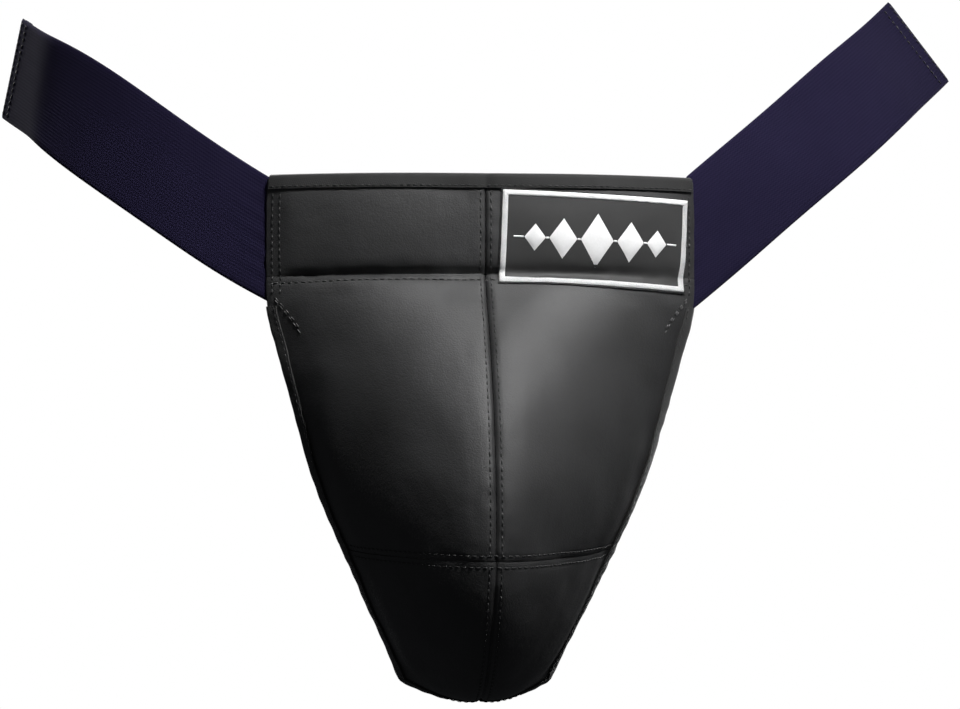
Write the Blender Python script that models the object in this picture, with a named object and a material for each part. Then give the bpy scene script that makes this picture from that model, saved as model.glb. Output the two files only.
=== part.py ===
# Groin protector: a padded leather shell over a hard cup, on a wide elastic waistband
# that opens at the back, with two elastic leg straps.
#
# Frame: metres, +Z up, the front of the shell faces -Y and the wearer stands on the +Y
# side. The wearer's left is +X. The origin is the centre of the flat face on the lining
# that lies against the wearer's lower abdomen, half way up the waist section.

import math

import bmesh
import bpy
import numpy as np
from mathutils import Vector

MM = 0.001

# ---------------------------------------------------------------- driving dimensions, mm
LEATHER_T = 1.2          # shell leather
FOAM_T = 6.0             # padding, away from the edges
LINING_T = 1.0           # knitted lining
CUP_T = 2.8              # moulded cup
GAP = 0.3                # between sewn layers
CUP_FRONT_GAP, CUP_BACK_GAP = 1.2, 1.2  # the cup lies loose in its pocket
EDGE_FOAM_SHARE = 0.35   # how much of the foam is left at a bound edge
EDGE_TAPER = 16.0        # width over which it thins
EDGE_STEP = 0.3          # how much of the thinning is undone under the binding tape
BINDING_T = 1.0          # binding tape
BINDING_W = 6.0          # how far the tape reaches in from the edge
FLAT_HALF = 22.0         # half width of the flat in the middle of the waist section
DOME_POWER = 1.75        # cross-section of the dome: 2 is a parabola, 1 a sharp keel

ELASTIC_W = 50.0         # waistband elastic
ELASTIC_T = 1.8
ELASTIC_SEWN_T = 1.0       # where the elastic is pressed flat by the side seam
WING_LENGTH = 205.0      # each wing, from the shell's edge to its free end, unstretched
WING_STRAIGHT = 55.0     # straight run at the free end, where the hook tab is sewn
WING_BASE = (99.1, 12.8, -4.6)  # middle of the side seam, and a point of the axis it folds about
HOOK_W, HOOK_L, HOOK_T = 44.0, 42.0, 1.6

LEG_W, LEG_T = 25.0, 1.6  # leg strap elastic
LABEL_W, LABEL_H, LABEL_T = 89.0, 44.0, 0.8
LABEL_X, LABEL_Z, LABEL_TILT = 50.8, -5.6, 2.3  # its middle, and degrees it dips towards the side
BORDER_INSET, BORDER_W = 1.0, 2.4
LABEL_LIFT = 0.4
# Emblem: half heights along a row of rhombi joined by a thin line.
EMBLEM = [(-34, 0.5), (-29.5, 0.5), (-25.5, 4.0), (-21.5, 0.5), (-19, 0.5), (-13.5, 6.5), (-8, 0.5), (-6.8, 0.5), (0, 10.0),
          (6.8, 0.5), (8, 0.5), (13.5, 6.5), (19, 0.5), (21.5, 0.5), (25.5, 4.0), (29.5, 0.5), (34, 0.5)]

# Keel: the line down the middle of the shell's outer face (y, z), from the top edge to
# the lip between the legs. One station per row of the rim table.
KEEL = [
    (-8.8, 23.0), (-8.8, 9.0), (-8.8, -13.0), (-8.2, -20.8), (-13.0, -29.0), (-20.5, -40.0),
    (-31.0, -56.0), (-41.0, -74.0), (-49.5, -94.0), (-55.0, -114.0), (-57.0, -132.0),
    (-54.5, -151.0), (-48.0, -168.0), (-37.5, -184.0), (-23.5, -198.5), (-6.5, -210.0),
    (10.5, -216.5), (26.0, -218.6),
]
# Rim: the shell's side edge (half width, y, z) at the same stations.
RIM = [
    (98.8, 10.2, 23.0), (99.3, 10.2, 9.0), (99.4, 10.2, -13.0), (99.4, 10.2, -22.2),
    (99.3, 10.3, -30.0), (98.2, 10.5, -39.0), (93.8, 11.0, -54.0), (89.2, 12.0, -71.0),
    (84.0, 13.5, -90.0), (78.3, 16.0, -110.0), (71.6, 18.5, -128.0), (62.8, 22.5, -148.0),
    (56.4, 26.0, -162.0), (51.0, 29.5, -174.0), (45.8, 33.0, -185.0), (41.2, 36.0, -195.0),
    (37.8, 38.8, -203.0), (35.2, 41.0, -209.5),
]
SEAM_T = 3.0             # station of the seam under the waist section
CROTCH_T = 11.0          # station of the seam above the crotch panel
LAST_T = float(len(KEEL) - 1)
TOP_IN, LIP_IN = 0.27, LAST_T - 0.5  # how far in the top and bottom bindings reach

# Cup outline in (half width, station) about its middle
CUP_HALF_U, CUP_MID_T, CUP_HALF_T = 0.66, 9.3, 5.0

# Left and right wings are the same elastic. Each lies as it was let go: heading (degrees
# back from straight out to the side), climb (degrees above level) and roll (the lower edge
# turned outwards), at the shell, half way and at the free end.
WING_POSE = {
    "left": {"heading": (14.0, 26.5, 56.5), "climb": (38.0, 36.5, 24.0), "roll": (0.0, 16.0, 31.0)},
    "right": {"heading": (5.0, 23.0, 73.0), "climb": (28.0, 34.5, 15.5), "roll": (0.0, 9.0, 8.0)},
}

# Leg strap centreline on the wearer's left side, from the lip to the lining near the side edge.
LEG_PATH = [
    (15.4, 33.2, -214.0), (17.2, 47.0, -211.4), (22.0, 60.0, -201.0), (29.0, 71.0, -176.0), (38.5, 76.5, -143.0),
    (50.0, 72.5, -108.0), (61.0, 55.0, -77.0), (69.5, 31.0, -60.0), (73.5, 15.5, -51.5), (75.0, 10.7, -38.0),
]
LEG_LEAN = 0.66          # its end at the lip is cut to follow the lip's edge


# ---------------------------------------------------------------- maths
def catmull(values, t):
    """A smooth curve through evenly numbered values."""
    n = len(values) - 1
    t = min(max(t, 0.0), float(n))
    i = min(int(t), n - 1)
    f = t - i
    p1, p2 = np.array(values[i], float), np.array(values[i + 1], float)
    p0 = np.array(values[i - 1], float) if i > 0 else 2 * p1 - p2
    p3 = np.array(values[i + 2], float) if i + 2 <= n else 2 * p2 - p1
    return 0.5 * (2 * p1 + (p2 - p0) * f + (2 * p0 - 5 * p1 + 4 * p2 - p3) * f * f + (3 * p1 - p0 - 3 * p2 + p3) * f ** 3)


def smooth(x, lo=0.0, hi=1.0):
    x = min(max((x - lo) / (hi - lo), 0.0), 1.0)
    return x * x * (3 - 2 * x)


def surface(u, t):
    """A point of the shell's outer face. u is -1 at the wearer's right edge and 1 at the left one, t the station."""
    yc, zc = catmull(KEEL, t)
    w, yr, zr = catmull(RIM, t)
    a = abs(u)
    belly = (max(0.0, a * w - FLAT_HALF) / (w - FLAT_HALF)) ** 2
    dome = a ** DOME_POWER
    g = belly + (dome - belly) * smooth(t, SEAM_T, SEAM_T + 3.5)
    return np.array([u * w, yc + (yr - yc) * g, zc + (zr - zc) * a * a])


def normal(u, t):
    """Outward unit normal there."""
    e = 1e-3
    du = surface(min(u + e, 1.0), t) - surface(max(u - e, -1.0), t)
    dt = surface(u, min(t + e, LAST_T)) - surface(u, max(t - e, 0.0))
    n = np.cross(dt, du)
    n /= np.linalg.norm(n)
    return n if n[1] < 0.999 else -n


def unit(v):
    v = np.array(v, float)
    return v / np.linalg.norm(v)


def side_run(t):
    """Length in mm along the surface for one whole u, near the side edge."""
    w, yr, _ = catmull(RIM, t)
    yc, _ = catmull(KEEL, t)
    return math.hypot(w, (yr - yc) * 1.8)


def edge_distance(u, t):
    """Rough distance in mm from a point of the shell to its nearest bound edge."""
    side = (1 - abs(u)) * side_run(t)
    top = t / TOP_IN * BINDING_W if t < TOP_IN else BINDING_W + (t - TOP_IN) * 20
    lip = (LAST_T - t) / (LAST_T - LIP_IN) * BINDING_W if t > LIP_IN else BINDING_W + (LIP_IN - t) * 20
    return min(side, top, lip)


def foam_thickness(u, t):
    thin = np.interp(edge_distance(u, t), [0, BINDING_W, EDGE_TAPER], [0, EDGE_STEP, 1])
    return FOAM_T * (EDGE_FOAM_SHARE + (1 - EDGE_FOAM_SHARE) * thin)


def foam_back(u, t):
    return LEATHER_T + GAP + foam_thickness(u, t)


def cup_radius(u, t):
    """1 on the cup's outline, less inside it."""
    return (abs(u / CUP_HALF_U) ** 2.4 + abs((t - CUP_MID_T) / CUP_HALF_T) ** 2.4) ** (1 / 2.4)


def lining_front(u, t):
    """Depth of the lining under the outer face: it bulges over the cup."""
    bump = (CUP_FRONT_GAP + CUP_T + CUP_BACK_GAP - GAP) * (1 - smooth(cup_radius(u, t), 1.25, 1.45))
    return foam_back(u, t) + GAP + bump


# ---------------------------------------------------------------- building
def material(name, colour, roughness, metallic=0.0):
    m = bpy.data.materials.get(name) or bpy.data.materials.new(name)
    m.use_nodes = True
    b = m.node_tree.nodes["Principled BSDF"]
    b.inputs["Base Color"].default_value = (*colour, 1)
    b.inputs["Roughness"].default_value = roughness
    b.inputs["Metallic"].default_value = metallic
    return m


LEATHER = ("shell_leather", (0.018, 0.018, 0.019), 0.42)
BINDING = ("binding_tape", (0.012, 0.012, 0.013), 0.6)
ELASTIC = ("band_elastic", (0.016, 0.013, 0.030), 0.85)
FOAM = ("eva_foam", (0.30, 0.30, 0.31), 0.9)
CUP = ("cup_plastic", (0.62, 0.62, 0.60), 0.35)
GASKET = ("gasket_rubber", (0.05, 0.05, 0.055), 0.6)
LINING = ("lining_knit", (0.022, 0.022, 0.026), 0.9)
LABEL = ("label_ground", (0.03, 0.03, 0.032), 0.6)
WHITE = ("label_thread", (0.85, 0.85, 0.84), 0.6)
HOOK = ("hook_tape", (0.015, 0.015, 0.017), 0.7)
TAG = ("care_tag", (0.80, 0.80, 0.78), 0.8)


def finish(name, bm, look, parent=None, origin=None):
    """Turns a bmesh in mm into a named object in metres, with its origin where its joint is."""
    bmesh.ops.scale(bm, vec=(MM, MM, MM), verts=bm.verts)
    at = Vector(origin) * MM if origin is not None else Vector((0, 0, 0))
    bmesh.ops.translate(bm, vec=-at, verts=bm.verts)
    bmesh.ops.recalc_face_normals(bm, faces=bm.faces)
    mesh = bpy.data.meshes.new(name)
    bm.to_mesh(mesh)
    bm.free()
    mesh.shade_smooth()
    mesh.set_sharp_from_angle(angle=math.radians(35))
    obj = bpy.data.objects.new(name, mesh)
    obj.data.materials.append(material(*look))
    bpy.context.scene.collection.objects.link(obj)
    if parent is not None:
        obj.parent = parent
        obj.location = at - parent.location
    else:
        obj.location = at
    return obj


def sheet_solid(name, front, back, look, parent=None, origin=None, closed=False, us=None):
    """A sheet as thick as the distance between two grids of points: the front grid is laid as faces and extruded to the back one. closed joins the last column to the first, and us are the columns' places across the shell."""
    rows, cols = len(front), len(front[0])
    bm = bmesh.new()
    f = [[bm.verts.new(p) for p in row] for row in front]
    r = [[bm.verts.new(p) for p in row] for row in back]

    def quad(a, b, c, d):
        """Two triangles, split from a to c."""
        bm.faces.new((a, b, c))
        bm.faces.new((a, c, d))

    for j in range(rows - 1):
        for i in range(cols if closed else cols - 1):
            k = (i + 1) % cols
            # the splits mirror about the middle of the shell, so both sides are alike and layers nest
            if closed or us is None or us[i] + us[k] < 0:
                quad(f[j][i], f[j][k], f[j + 1][k], f[j + 1][i])
                quad(r[j][i], r[j + 1][i], r[j + 1][k], r[j][k])
            else:
                quad(f[j][k], f[j + 1][k], f[j + 1][i], f[j][i])
                quad(r[j][k], r[j][i], r[j + 1][i], r[j + 1][k])
    for i in range(cols if closed else cols - 1):
        k = (i + 1) % cols
        if closed or us is None or us[i] + us[k] < 0:
            quad(f[0][k], f[0][i], r[0][i], r[0][k])
            quad(f[-1][i], f[-1][k], r[-1][k], r[-1][i])
        else:
            quad(f[0][i], r[0][i], r[0][k], f[0][k])
            quad(f[-1][k], r[-1][k], r[-1][i], f[-1][i])
    for j in range(0 if closed else rows - 1):
        quad(f[j + 1][0], r[j + 1][0], r[j][0], f[j][0])
        quad(r[j][-1], r[j + 1][-1], f[j + 1][-1], f[j][-1])
    return finish(name, bm, look, parent, origin)


def layer(name, us, ts, outer, inner, look, parent=None, shift=lambda k, t: 0.0):
    """A layer of the shell between two depths under its outer face, over a grid of columns and stations. shift moves a column sideways."""
    front, back = [], []
    for t in ts:
        f, b = [], []
        for k in us:
            u = across(k + shift(k, t), t)
            p, n = surface(u, t), normal(u, t)
            f.append(p - n * outer(u, t))
            b.append(p - n * inner(u, t))
        front.append(f)
        back.append(b)
    return sheet_solid(name, front, back, look, parent, us=us)


COLUMNS = 7
LAST_COLUMN = math.sin(math.pi / 2 * (COLUMNS - 1) / COLUMNS)


def across(k, t):
    """The u of a column at station t: the outermost inner column follows the inside of the binding."""
    inner = 1 - BINDING_W / side_run(t)
    a = abs(k)
    u = a * inner / LAST_COLUMN if a <= LAST_COLUMN else inner + (a - LAST_COLUMN) / (1 - LAST_COLUMN) * (1 - inner)
    return math.copysign(u, k)


def columns(lo, hi):
    """Columns from lo to hi on one side of the middle, or both, closer together towards the edge."""
    full = sorted({s * math.sin(math.pi / 2 * i / COLUMNS) for i in range(COLUMNS + 1) for s in (-1, 1)})
    inside = [k for k in full if lo + 0.012 < k < hi - 0.012]
    return [lo, *inside, hi]


def stations(lo, hi):
    """Rows from lo to hi: every whole station, and the two rows the bindings reach to."""
    whole = [TOP_IN, *[float(k) for k in range(1, int(LAST_T))], LIP_IN]
    return [lo, *[t for t in whole if lo + 0.12 < t < hi - 0.12], hi]


def strip(name, lines, thickness, look, parent=None, origin=None):
    """Webbing: rows of (point across the width, face normal) pairs, given a thickness, or one for each row, centred on them."""
    thick = [thickness] * len(lines) if isinstance(thickness, float) else thickness
    front = [[p + n * t / 2 for p, n in row] for row, t in zip(lines, thick)]
    back = [[p - n * t / 2 for p, n in row] for row, t in zip(lines, thick)]
    return sheet_solid(name, front, back, look, parent, origin)


# ---------------------------------------------------------------- the wings' path
def quad_blend(triple, f):
    """A parabola through a value at the start, half way and the end."""
    a, m, b = triple
    return a * (1 - f) * (1 - 2 * f) + 4 * m * f * (1 - f) + b * f * (2 * f - 1)


def wing_angles(pose, s):
    f = min(max(s / (WING_LENGTH - WING_STRAIGHT), 0.0), 1.0)
    return [math.radians(quad_blend(pose[k], f)) for k in ("heading", "climb", "roll")]


def wing_frame(pose, s):
    """(direction along the elastic, width direction, outward normal) at a distance s along it, for the left wing."""
    th, ph, roll = wing_angles(pose, s)
    d = np.array([math.cos(th) * math.cos(ph), math.sin(th) * math.cos(ph), math.sin(ph)])
    n0 = np.array([math.sin(th), -math.cos(th), 0.0])
    w0 = np.cross(n0, d) * -1.0
    w0 = w0 if w0[2] > 0 else -w0
    w = w0 * math.cos(roll) - n0 * math.sin(roll)
    n = n0 * math.cos(roll) + w0 * math.sin(roll)
    return d, w, n


def wing_point(pose, s, q):
    """Point at s along and q across the elastic's middle, in mm."""
    steps = max(1, int(abs(s) / 4))
    c = np.array(WING_BASE)
    for k in range(steps):
        d, _, _ = wing_frame(pose, s * (k + 0.5) / steps)
        c = c + d * (s / steps)
    _, w, n = wing_frame(pose, s)
    return c + w * q, n


def mirror(side, p):
    return np.array([p[0] if side == "left" else -p[0], p[1], p[2]])


# ---------------------------------------------------------------- clear the scene
for obj in list(bpy.data.objects):
    bpy.data.objects.remove(obj)

# Empties: the shell's frame, and one on each joint's axis.


def empty(name, at):
    e = bpy.data.objects.new(name, None)
    e.location = Vector(at) * MM
    e.empty_display_size = 0.02
    bpy.context.scene.collection.objects.link(e)
    return e


shell = empty("shell_frame", (0, 0, 0))
wing_axis = {side: empty(f"wing_axis_{side}", mirror(side, WING_BASE)) for side in ("left", "right")}

# ---------------------------------------------------------------- shell leather
zero = lambda u, t: 0.0
leather_in = lambda u, t: LEATHER_T
HALF_SEAM = 0.004        # half of the gap at the centre seam, in u
ROW_SEAM = 0.05          # half of the gap at a cross seam, in stations

layer("waist_facing_left", columns(HALF_SEAM, 1.0), stations(0.0, SEAM_T - ROW_SEAM), zero, leather_in, LEATHER, shell)
layer("waist_facing_right", columns(-1.0, -HALF_SEAM), stations(0.0, SEAM_T - ROW_SEAM), zero, leather_in, LEATHER, shell)
layer("front_panel_left", columns(HALF_SEAM, 1.0), stations(SEAM_T + ROW_SEAM, CROTCH_T - 0.02), zero, leather_in, LEATHER, shell)
layer("front_panel_right", columns(-1.0, -HALF_SEAM), stations(SEAM_T + ROW_SEAM, CROTCH_T - 0.02), zero, leather_in, LEATHER, shell)
layer("crotch_panel", columns(-1.0, 1.0), stations(CROTCH_T + 0.02, LAST_T), zero, leather_in, LEATHER, shell)

# ---------------------------------------------------------------- padding and lining
foam_front = lambda u, t: LEATHER_T + GAP
layer("waist_foam", columns(-1.0, 1.0), stations(0.0, SEAM_T - ROW_SEAM), foam_front, foam_back, FOAM, shell)
layer("front_foam", columns(-1.0, 1.0), stations(SEAM_T + ROW_SEAM, LAST_T), foam_front, foam_back, FOAM, shell)
# The middle column stands aside in the waist section, so the flat face round the origin is whole.
layer("lining", columns(-1.0, 1.0), stations(0.0, LAST_T), lining_front, lambda u, t: lining_front(u, t) + LINING_T, LINING, shell,
      shift=lambda k, t: -0.1 if abs(k) < 0.01 and t <= 2.0 else 0.0)


# ---------------------------------------------------------------- cup and its soft edge
def cup_grid(scale_lo, scale_hi, depth_a, depth_b, rings, sectors=28):
    """Rings of points about the cup's middle, from one share of its outline to another."""
    front, back = [], []
    for r in range(rings + 1):
        share = scale_lo + (scale_hi - scale_lo) * r / rings
        f, b = [], []
        for k in range(sectors):
            ang = 2 * math.pi * k / sectors
            c, s = math.cos(ang), math.sin(ang)
            m = (abs(c) ** 2.4 + abs(s) ** 2.4) ** (1 / 2.4)
            u, t = CUP_HALF_U * share * c / m, CUP_MID_T + CUP_HALF_T * share * s / m
            p, n = surface(u, t), normal(u, t)
            f.append(p - n * depth_a(u, t))
            b.append(p - n * depth_b(u, t))
        front.append(f)
        back.append(b)
    return front, back


def cup_front(u, t):
    return foam_back(u, t) + CUP_FRONT_GAP


def cup_back(u, t):
    return cup_front(u, t) + CUP_T


def disc_solid(name, front, back, middle_front, middle_back, look, parent):
    """A shell without a hole: rings of points round a middle point, on both faces."""
    rows, cols = len(front), len(front[0])
    bm = bmesh.new()
    f = [[bm.verts.new(p) for p in row] for row in front]
    b = [[bm.verts.new(p) for p in row] for row in back]
    mf, mb = bm.verts.new(middle_front), bm.verts.new(middle_back)
    for i in range(cols):
        k = (i + 1) % cols
        bm.faces.new((mf, f[0][i], f[0][k]))
        bm.faces.new((mb, b[0][k], b[0][i]))
        for j in range(rows - 1):
            bm.faces.new((f[j][i], f[j + 1][i], f[j + 1][k]))
            bm.faces.new((f[j][i], f[j + 1][k], f[j][k]))
            bm.faces.new((b[j][i], b[j + 1][k], b[j + 1][i]))
            bm.faces.new((b[j][i], b[j][k], b[j + 1][k]))
        bm.faces.new((f[-1][i], b[-1][i], b[-1][k]))
        bm.faces.new((f[-1][i], b[-1][k], f[-1][k]))
    return finish(name, bm, look, parent)


cf, cb = cup_grid(0.14, 0.985, cup_front, cup_back, 7)
mid, midn = surface(0.0, CUP_MID_T), normal(0.0, CUP_MID_T)
disc_solid("cup_shell", cf, cb, mid - midn * cup_front(0, CUP_MID_T), mid - midn * cup_back(0, CUP_MID_T), CUP, shell)
gf, gb = cup_grid(1.01, 1.15, lambda u, t: cup_front(u, t) - 0.1, lambda u, t: cup_back(u, t) + 0.1, 2)
sheet_solid("cup_gasket", gf, gb, GASKET, shell, closed=True)


# ---------------------------------------------------------------- bindings
def channel(name, rows, look, parent):
    """Tape folded over an edge. Each row is the closed outline of its cross-section."""
    bm = bmesh.new()
    rings = [[bm.verts.new(p) for p in row] for row in rows]
    n = len(rings[0])
    for a, b in zip(rings, rings[1:]):
        for i in range(n):
            k = (i + 1) % n
            bm.faces.new((a[i], a[k], b[k]))
            bm.faces.new((a[i], b[k], b[i]))
    for ring in (rings[0], rings[-1]):
        for cap in ((0, 1, 2), (0, 2, 9), (9, 2, 3), (9, 3, 4), (9, 4, 8), (8, 4, 5), (8, 5, 6), (8, 6, 7)):
            bm.faces.new([ring[i] for i in cap])
    return finish(name, bm, look, parent)


def folded_over(edge, inside, n_edge, n_in, out, depth_edge, depth_in):
    """The cross-section of a tape folded over a bound edge: its ten corners."""
    g, b, back = GAP, BINDING_T, GAP + 0.2
    return [
        inside + n_in * g, inside + n_in * (g + b),
        edge + out * 0.6 + n_edge * (g + b), edge + out * (g + b) + n_edge * (g * 0.5),
        edge + out * (g + b) - n_edge * (depth_edge + g * 0.5), edge + out * 0.6 - n_edge * (depth_edge + back + b),
        inside - n_in * (depth_in + back + b), inside - n_in * (depth_in + back),
        edge + out * g - n_edge * (depth_edge + back), edge + out * g + n_edge * g,
    ]


def total_depth(u, t):
    return lining_front(u, t) + LINING_T


def side_rows(side, ts):
    rows = []
    sign = 1.0 if side == "left" else -1.0
    for t in ts:
        u_in = across(LAST_COLUMN, t)
        e, i = surface(sign, t), surface(sign * u_in, t)
        ne, ni = normal(sign, t), normal(sign * u_in, t)
        out = unit(e - i)
        rows.append(folded_over(e, i, ne, ni, out, total_depth(sign, t), total_depth(sign * u_in, t)))
    return rows


side_ts = stations(5.0, LAST_T - 0.62)
for side in ("left", "right"):
    channel(f"side_binding_{side}", side_rows(side, side_ts), BINDING, shell)


def cross_rows(t_edge, t_in, us):
    rows = []
    for k in us:
        ue, ui = across(k, t_edge), across(k, t_in)
        e, i = surface(ue, t_edge), surface(ui, t_in)
        ne, ni = normal(ue, t_edge), normal(ui, t_in)
        out = unit(e - i)
        rows.append(folded_over(e, i, ne, ni, out, total_depth(ue, t_edge), total_depth(ui, t_in)))
    return rows


channel("top_binding", cross_rows(0.0, TOP_IN, columns(-0.985, 0.985)), BINDING, shell)
channel("bottom_binding", cross_rows(LAST_T, LIP_IN, columns(-0.97, 0.97)), BINDING, shell)

# ---------------------------------------------------------------- label on the waist section
def on_label(a, b):
    """The u and t of a point of the label, a mm towards the wearer's left and b mm up from its middle."""
    c, s = math.cos(math.radians(LABEL_TILT)), math.sin(math.radians(LABEL_TILT))
    x, z = LABEL_X + a * c + b * s, LABEL_Z - a * s + b * c
    lo, hi = 0.0, 6.0
    for _ in range(40):
        t = (lo + hi) / 2
        u = x / catmull(RIM, t)[0]
        lo, hi = (t, hi) if surface(u, t)[2] > z else (lo, t)
    return u, t


def label_grid(points, lift):
    return [[surface(*on_label(a, b)) + normal(*on_label(a, b)) * lift for a, b in row] for row in points]


label_points = [[(a, b) for a in np.linspace(-LABEL_W / 2, LABEL_W / 2, 10)] for b in np.linspace(LABEL_H / 2, -LABEL_H / 2, 9)]
sheet_solid("label_patch", label_grid(label_points, LABEL_LIFT + LABEL_T), label_grid(label_points, LABEL_LIFT), LABEL, shell)


def frame_loop(w, h):
    """Points round a rectangle, from its upper right corner."""
    across_n, down_n = 9, 8
    top = [(w - 2 * w * i / across_n, h) for i in range(across_n)]
    side = [(-w, h - 2 * h * i / down_n) for i in range(down_n)]
    return top + side + [(-a, -b) for a, b in top] + [(-a, -b) for a, b in side]


border = [frame_loop(LABEL_W / 2 - d, LABEL_H / 2 - d) for d in (BORDER_INSET, BORDER_INSET + BORDER_W)]
THREAD_LO, THREAD_HI = LABEL_LIFT + LABEL_T + 0.4, LABEL_LIFT + LABEL_T + 1.0
sheet_solid("label_border", label_grid(border, THREAD_HI), label_grid(border, THREAD_LO), WHITE, shell, closed=True)
emblem = [[(a, s * h) for a, h in EMBLEM] for s in (1.0, -1.0)]
sheet_solid("label_emblem", label_grid(emblem, THREAD_HI), label_grid(emblem, THREAD_LO), WHITE, shell)

# ---------------------------------------------------------------- waistband wings
for side in ("left", "right"):
    pose = WING_POSE[side]
    lean = math.tan(math.radians(pose["climb"][0]))

    def wing_row(f):
        row = []
        for q in np.linspace(-ELASTIC_W / 2, ELASTIC_W / 2, 5):
            lo = q * lean
            p, n = wing_point(pose, lo + (WING_LENGTH - lo) * f, q)
            if f == 0.0:
                p = np.array([WING_BASE[0], WING_BASE[1], p[2]])   # the sewn edge stands on the fold's axis
            row.append((mirror(side, p), mirror(side, n)))
        return row

    # The sewn edge is pressed flat by its seam; the elastic has its full thickness from a few mm out.
    places = [0.0, 0.018] + [float(f) for f in np.linspace(0.0, 1.0, 17)[1:]]
    rows = [wing_row(f) for f in places]
    thick = [ELASTIC_SEWN_T] + [ELASTIC_T] * (len(rows) - 1)
    strip(f"wing_elastic_{side}", rows, thick, ELASTIC, wing_axis[side], mirror(side, WING_BASE))

# Hook tab on the inner face of the left wing's free end, and a folded hem on the right one's.
pose = WING_POSE["left"]
tab_rows = []
for s in (WING_LENGTH - 6.0 - HOOK_L, WING_LENGTH - 6.0):
    row = []
    for q in (-HOOK_W / 2, HOOK_W / 2):
        p, n = wing_point(pose, s, q)
        row.append((p - n * (ELASTIC_T / 2 + GAP + HOOK_T / 2), n))
    tab_rows.append(row)
strip("hook_tab", tab_rows, HOOK_T, HOOK, wing_axis["left"], WING_BASE)

pose = WING_POSE["right"]
tab_rows = []
for s in (WING_LENGTH - 13.0, WING_LENGTH - 1.0):
    row = []
    for q in (-ELASTIC_W / 2 + 0.5, ELASTIC_W / 2 - 0.5):
        p, n = wing_point(pose, s, q)
        row.append((mirror("right", p - n * (ELASTIC_T / 2 + GAP + 0.8)), mirror("right", n)))
    tab_rows.append(row)
strip("end_hem_right", tab_rows, 1.6, ELASTIC, wing_axis["right"], mirror("right", WING_BASE))


# ---------------------------------------------------------------- leg straps
def leg_line(f):
    return catmull(LEG_PATH, f * (len(LEG_PATH) - 1))


def leg_rows(side, n):
    length = sum(math.dist(leg_line(k / 60), leg_line((k + 1) / 60)) for k in range(60))
    at_lip, half_way, at_top = unit((0.97, 0.0, 0.22)), unit((1.0, 0.12, 0.0)), unit((0.955, 0.295, 0.0))
    rows = []
    for f in np.linspace(0.0, 1.0, n):
        row = []
        for q in (-LEG_W / 2, 0.0, LEG_W / 2):
            g = f + (1 - f) * LEG_LEAN * (q + LEG_W / 2) / length
            d = unit(leg_line(min(g + 0.01, 1)) - leg_line(max(g - 0.01, 0)))
            want = at_lip + (half_way - at_lip) * smooth(g, 0.0, 0.4) + (at_top - half_way) * smooth(g, 0.6, 0.95)
            w = unit(want - d * (want @ d))
            face = np.cross(d, w)              # away from the lining all along, so the band never turns over
            row.append((mirror(side, leg_line(g) + w * q), mirror(side, face)))
        rows.append(row)
    return rows


for side in ("left", "right"):
    strip(f"leg_strap_{side}", leg_rows(side, 18), LEG_T, ELASTIC, shell)
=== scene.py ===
import math

import bmesh
import bpy
import numpy as np
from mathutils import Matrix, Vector


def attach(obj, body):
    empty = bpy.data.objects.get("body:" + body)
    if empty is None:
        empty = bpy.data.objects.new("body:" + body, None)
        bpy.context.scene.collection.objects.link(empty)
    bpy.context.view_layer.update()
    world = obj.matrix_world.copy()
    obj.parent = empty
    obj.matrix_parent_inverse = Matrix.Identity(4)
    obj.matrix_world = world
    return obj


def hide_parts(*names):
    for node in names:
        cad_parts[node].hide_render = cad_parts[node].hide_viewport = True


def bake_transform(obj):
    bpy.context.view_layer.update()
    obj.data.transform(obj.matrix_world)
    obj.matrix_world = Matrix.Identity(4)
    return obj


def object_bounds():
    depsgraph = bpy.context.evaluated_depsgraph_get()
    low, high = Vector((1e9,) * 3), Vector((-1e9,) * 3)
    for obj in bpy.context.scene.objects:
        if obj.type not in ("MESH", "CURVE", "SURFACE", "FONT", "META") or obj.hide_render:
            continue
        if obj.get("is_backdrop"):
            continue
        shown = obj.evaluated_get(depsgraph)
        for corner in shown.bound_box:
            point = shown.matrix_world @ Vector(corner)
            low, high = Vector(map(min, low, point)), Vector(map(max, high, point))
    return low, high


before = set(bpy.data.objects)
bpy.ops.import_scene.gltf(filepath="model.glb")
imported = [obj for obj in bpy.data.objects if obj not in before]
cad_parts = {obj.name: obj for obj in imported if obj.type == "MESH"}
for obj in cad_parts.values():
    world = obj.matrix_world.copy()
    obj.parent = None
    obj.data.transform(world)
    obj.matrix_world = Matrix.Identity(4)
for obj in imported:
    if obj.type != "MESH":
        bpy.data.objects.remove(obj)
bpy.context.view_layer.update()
MM = 0.001

# ---------------------------------------------------------------- the CAD's own shape, in mm
LEATHER_T, FOAM_T, LINING_T, CUP_T, GAP = 1.2, 6.0, 1.0, 2.8, 0.3
CUP_FRONT_GAP, CUP_BACK_GAP = 1.2, 1.2
EDGE_FOAM_SHARE, EDGE_TAPER, EDGE_STEP, BINDING_W = 0.35, 16.0, 0.3, 6.0
FLAT_HALF, DOME_POWER = 22.0, 1.75
ELASTIC_W, ELASTIC_T, WING_LENGTH, WING_STRAIGHT = 50.0, 1.8, 205.0, 55.0
WING_BASE = np.array([99.1, 12.8, -4.6])
HOOK_W, HOOK_L, HOOK_T = 44.0, 42.0, 1.6
LEG_W, LEG_T, LEG_LEAN = 25.0, 1.6, 0.66
LABEL_W, LABEL_H, LABEL_T = 89.0, 44.0, 0.8
LABEL_X, LABEL_Z, LABEL_TILT = 50.8, -5.6, 2.3
KEEL = np.array([
    (-8.8, 23.0), (-8.8, 9.0), (-8.8, -13.0), (-8.2, -20.8), (-13.0, -29.0), (-20.5, -40.0),
    (-31.0, -56.0), (-41.0, -74.0), (-49.5, -94.0), (-55.0, -114.0), (-57.0, -132.0),
    (-54.5, -151.0), (-48.0, -168.0), (-37.5, -184.0), (-23.5, -198.5), (-6.5, -210.0),
    (10.5, -216.5), (26.0, -218.6)])
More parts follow.
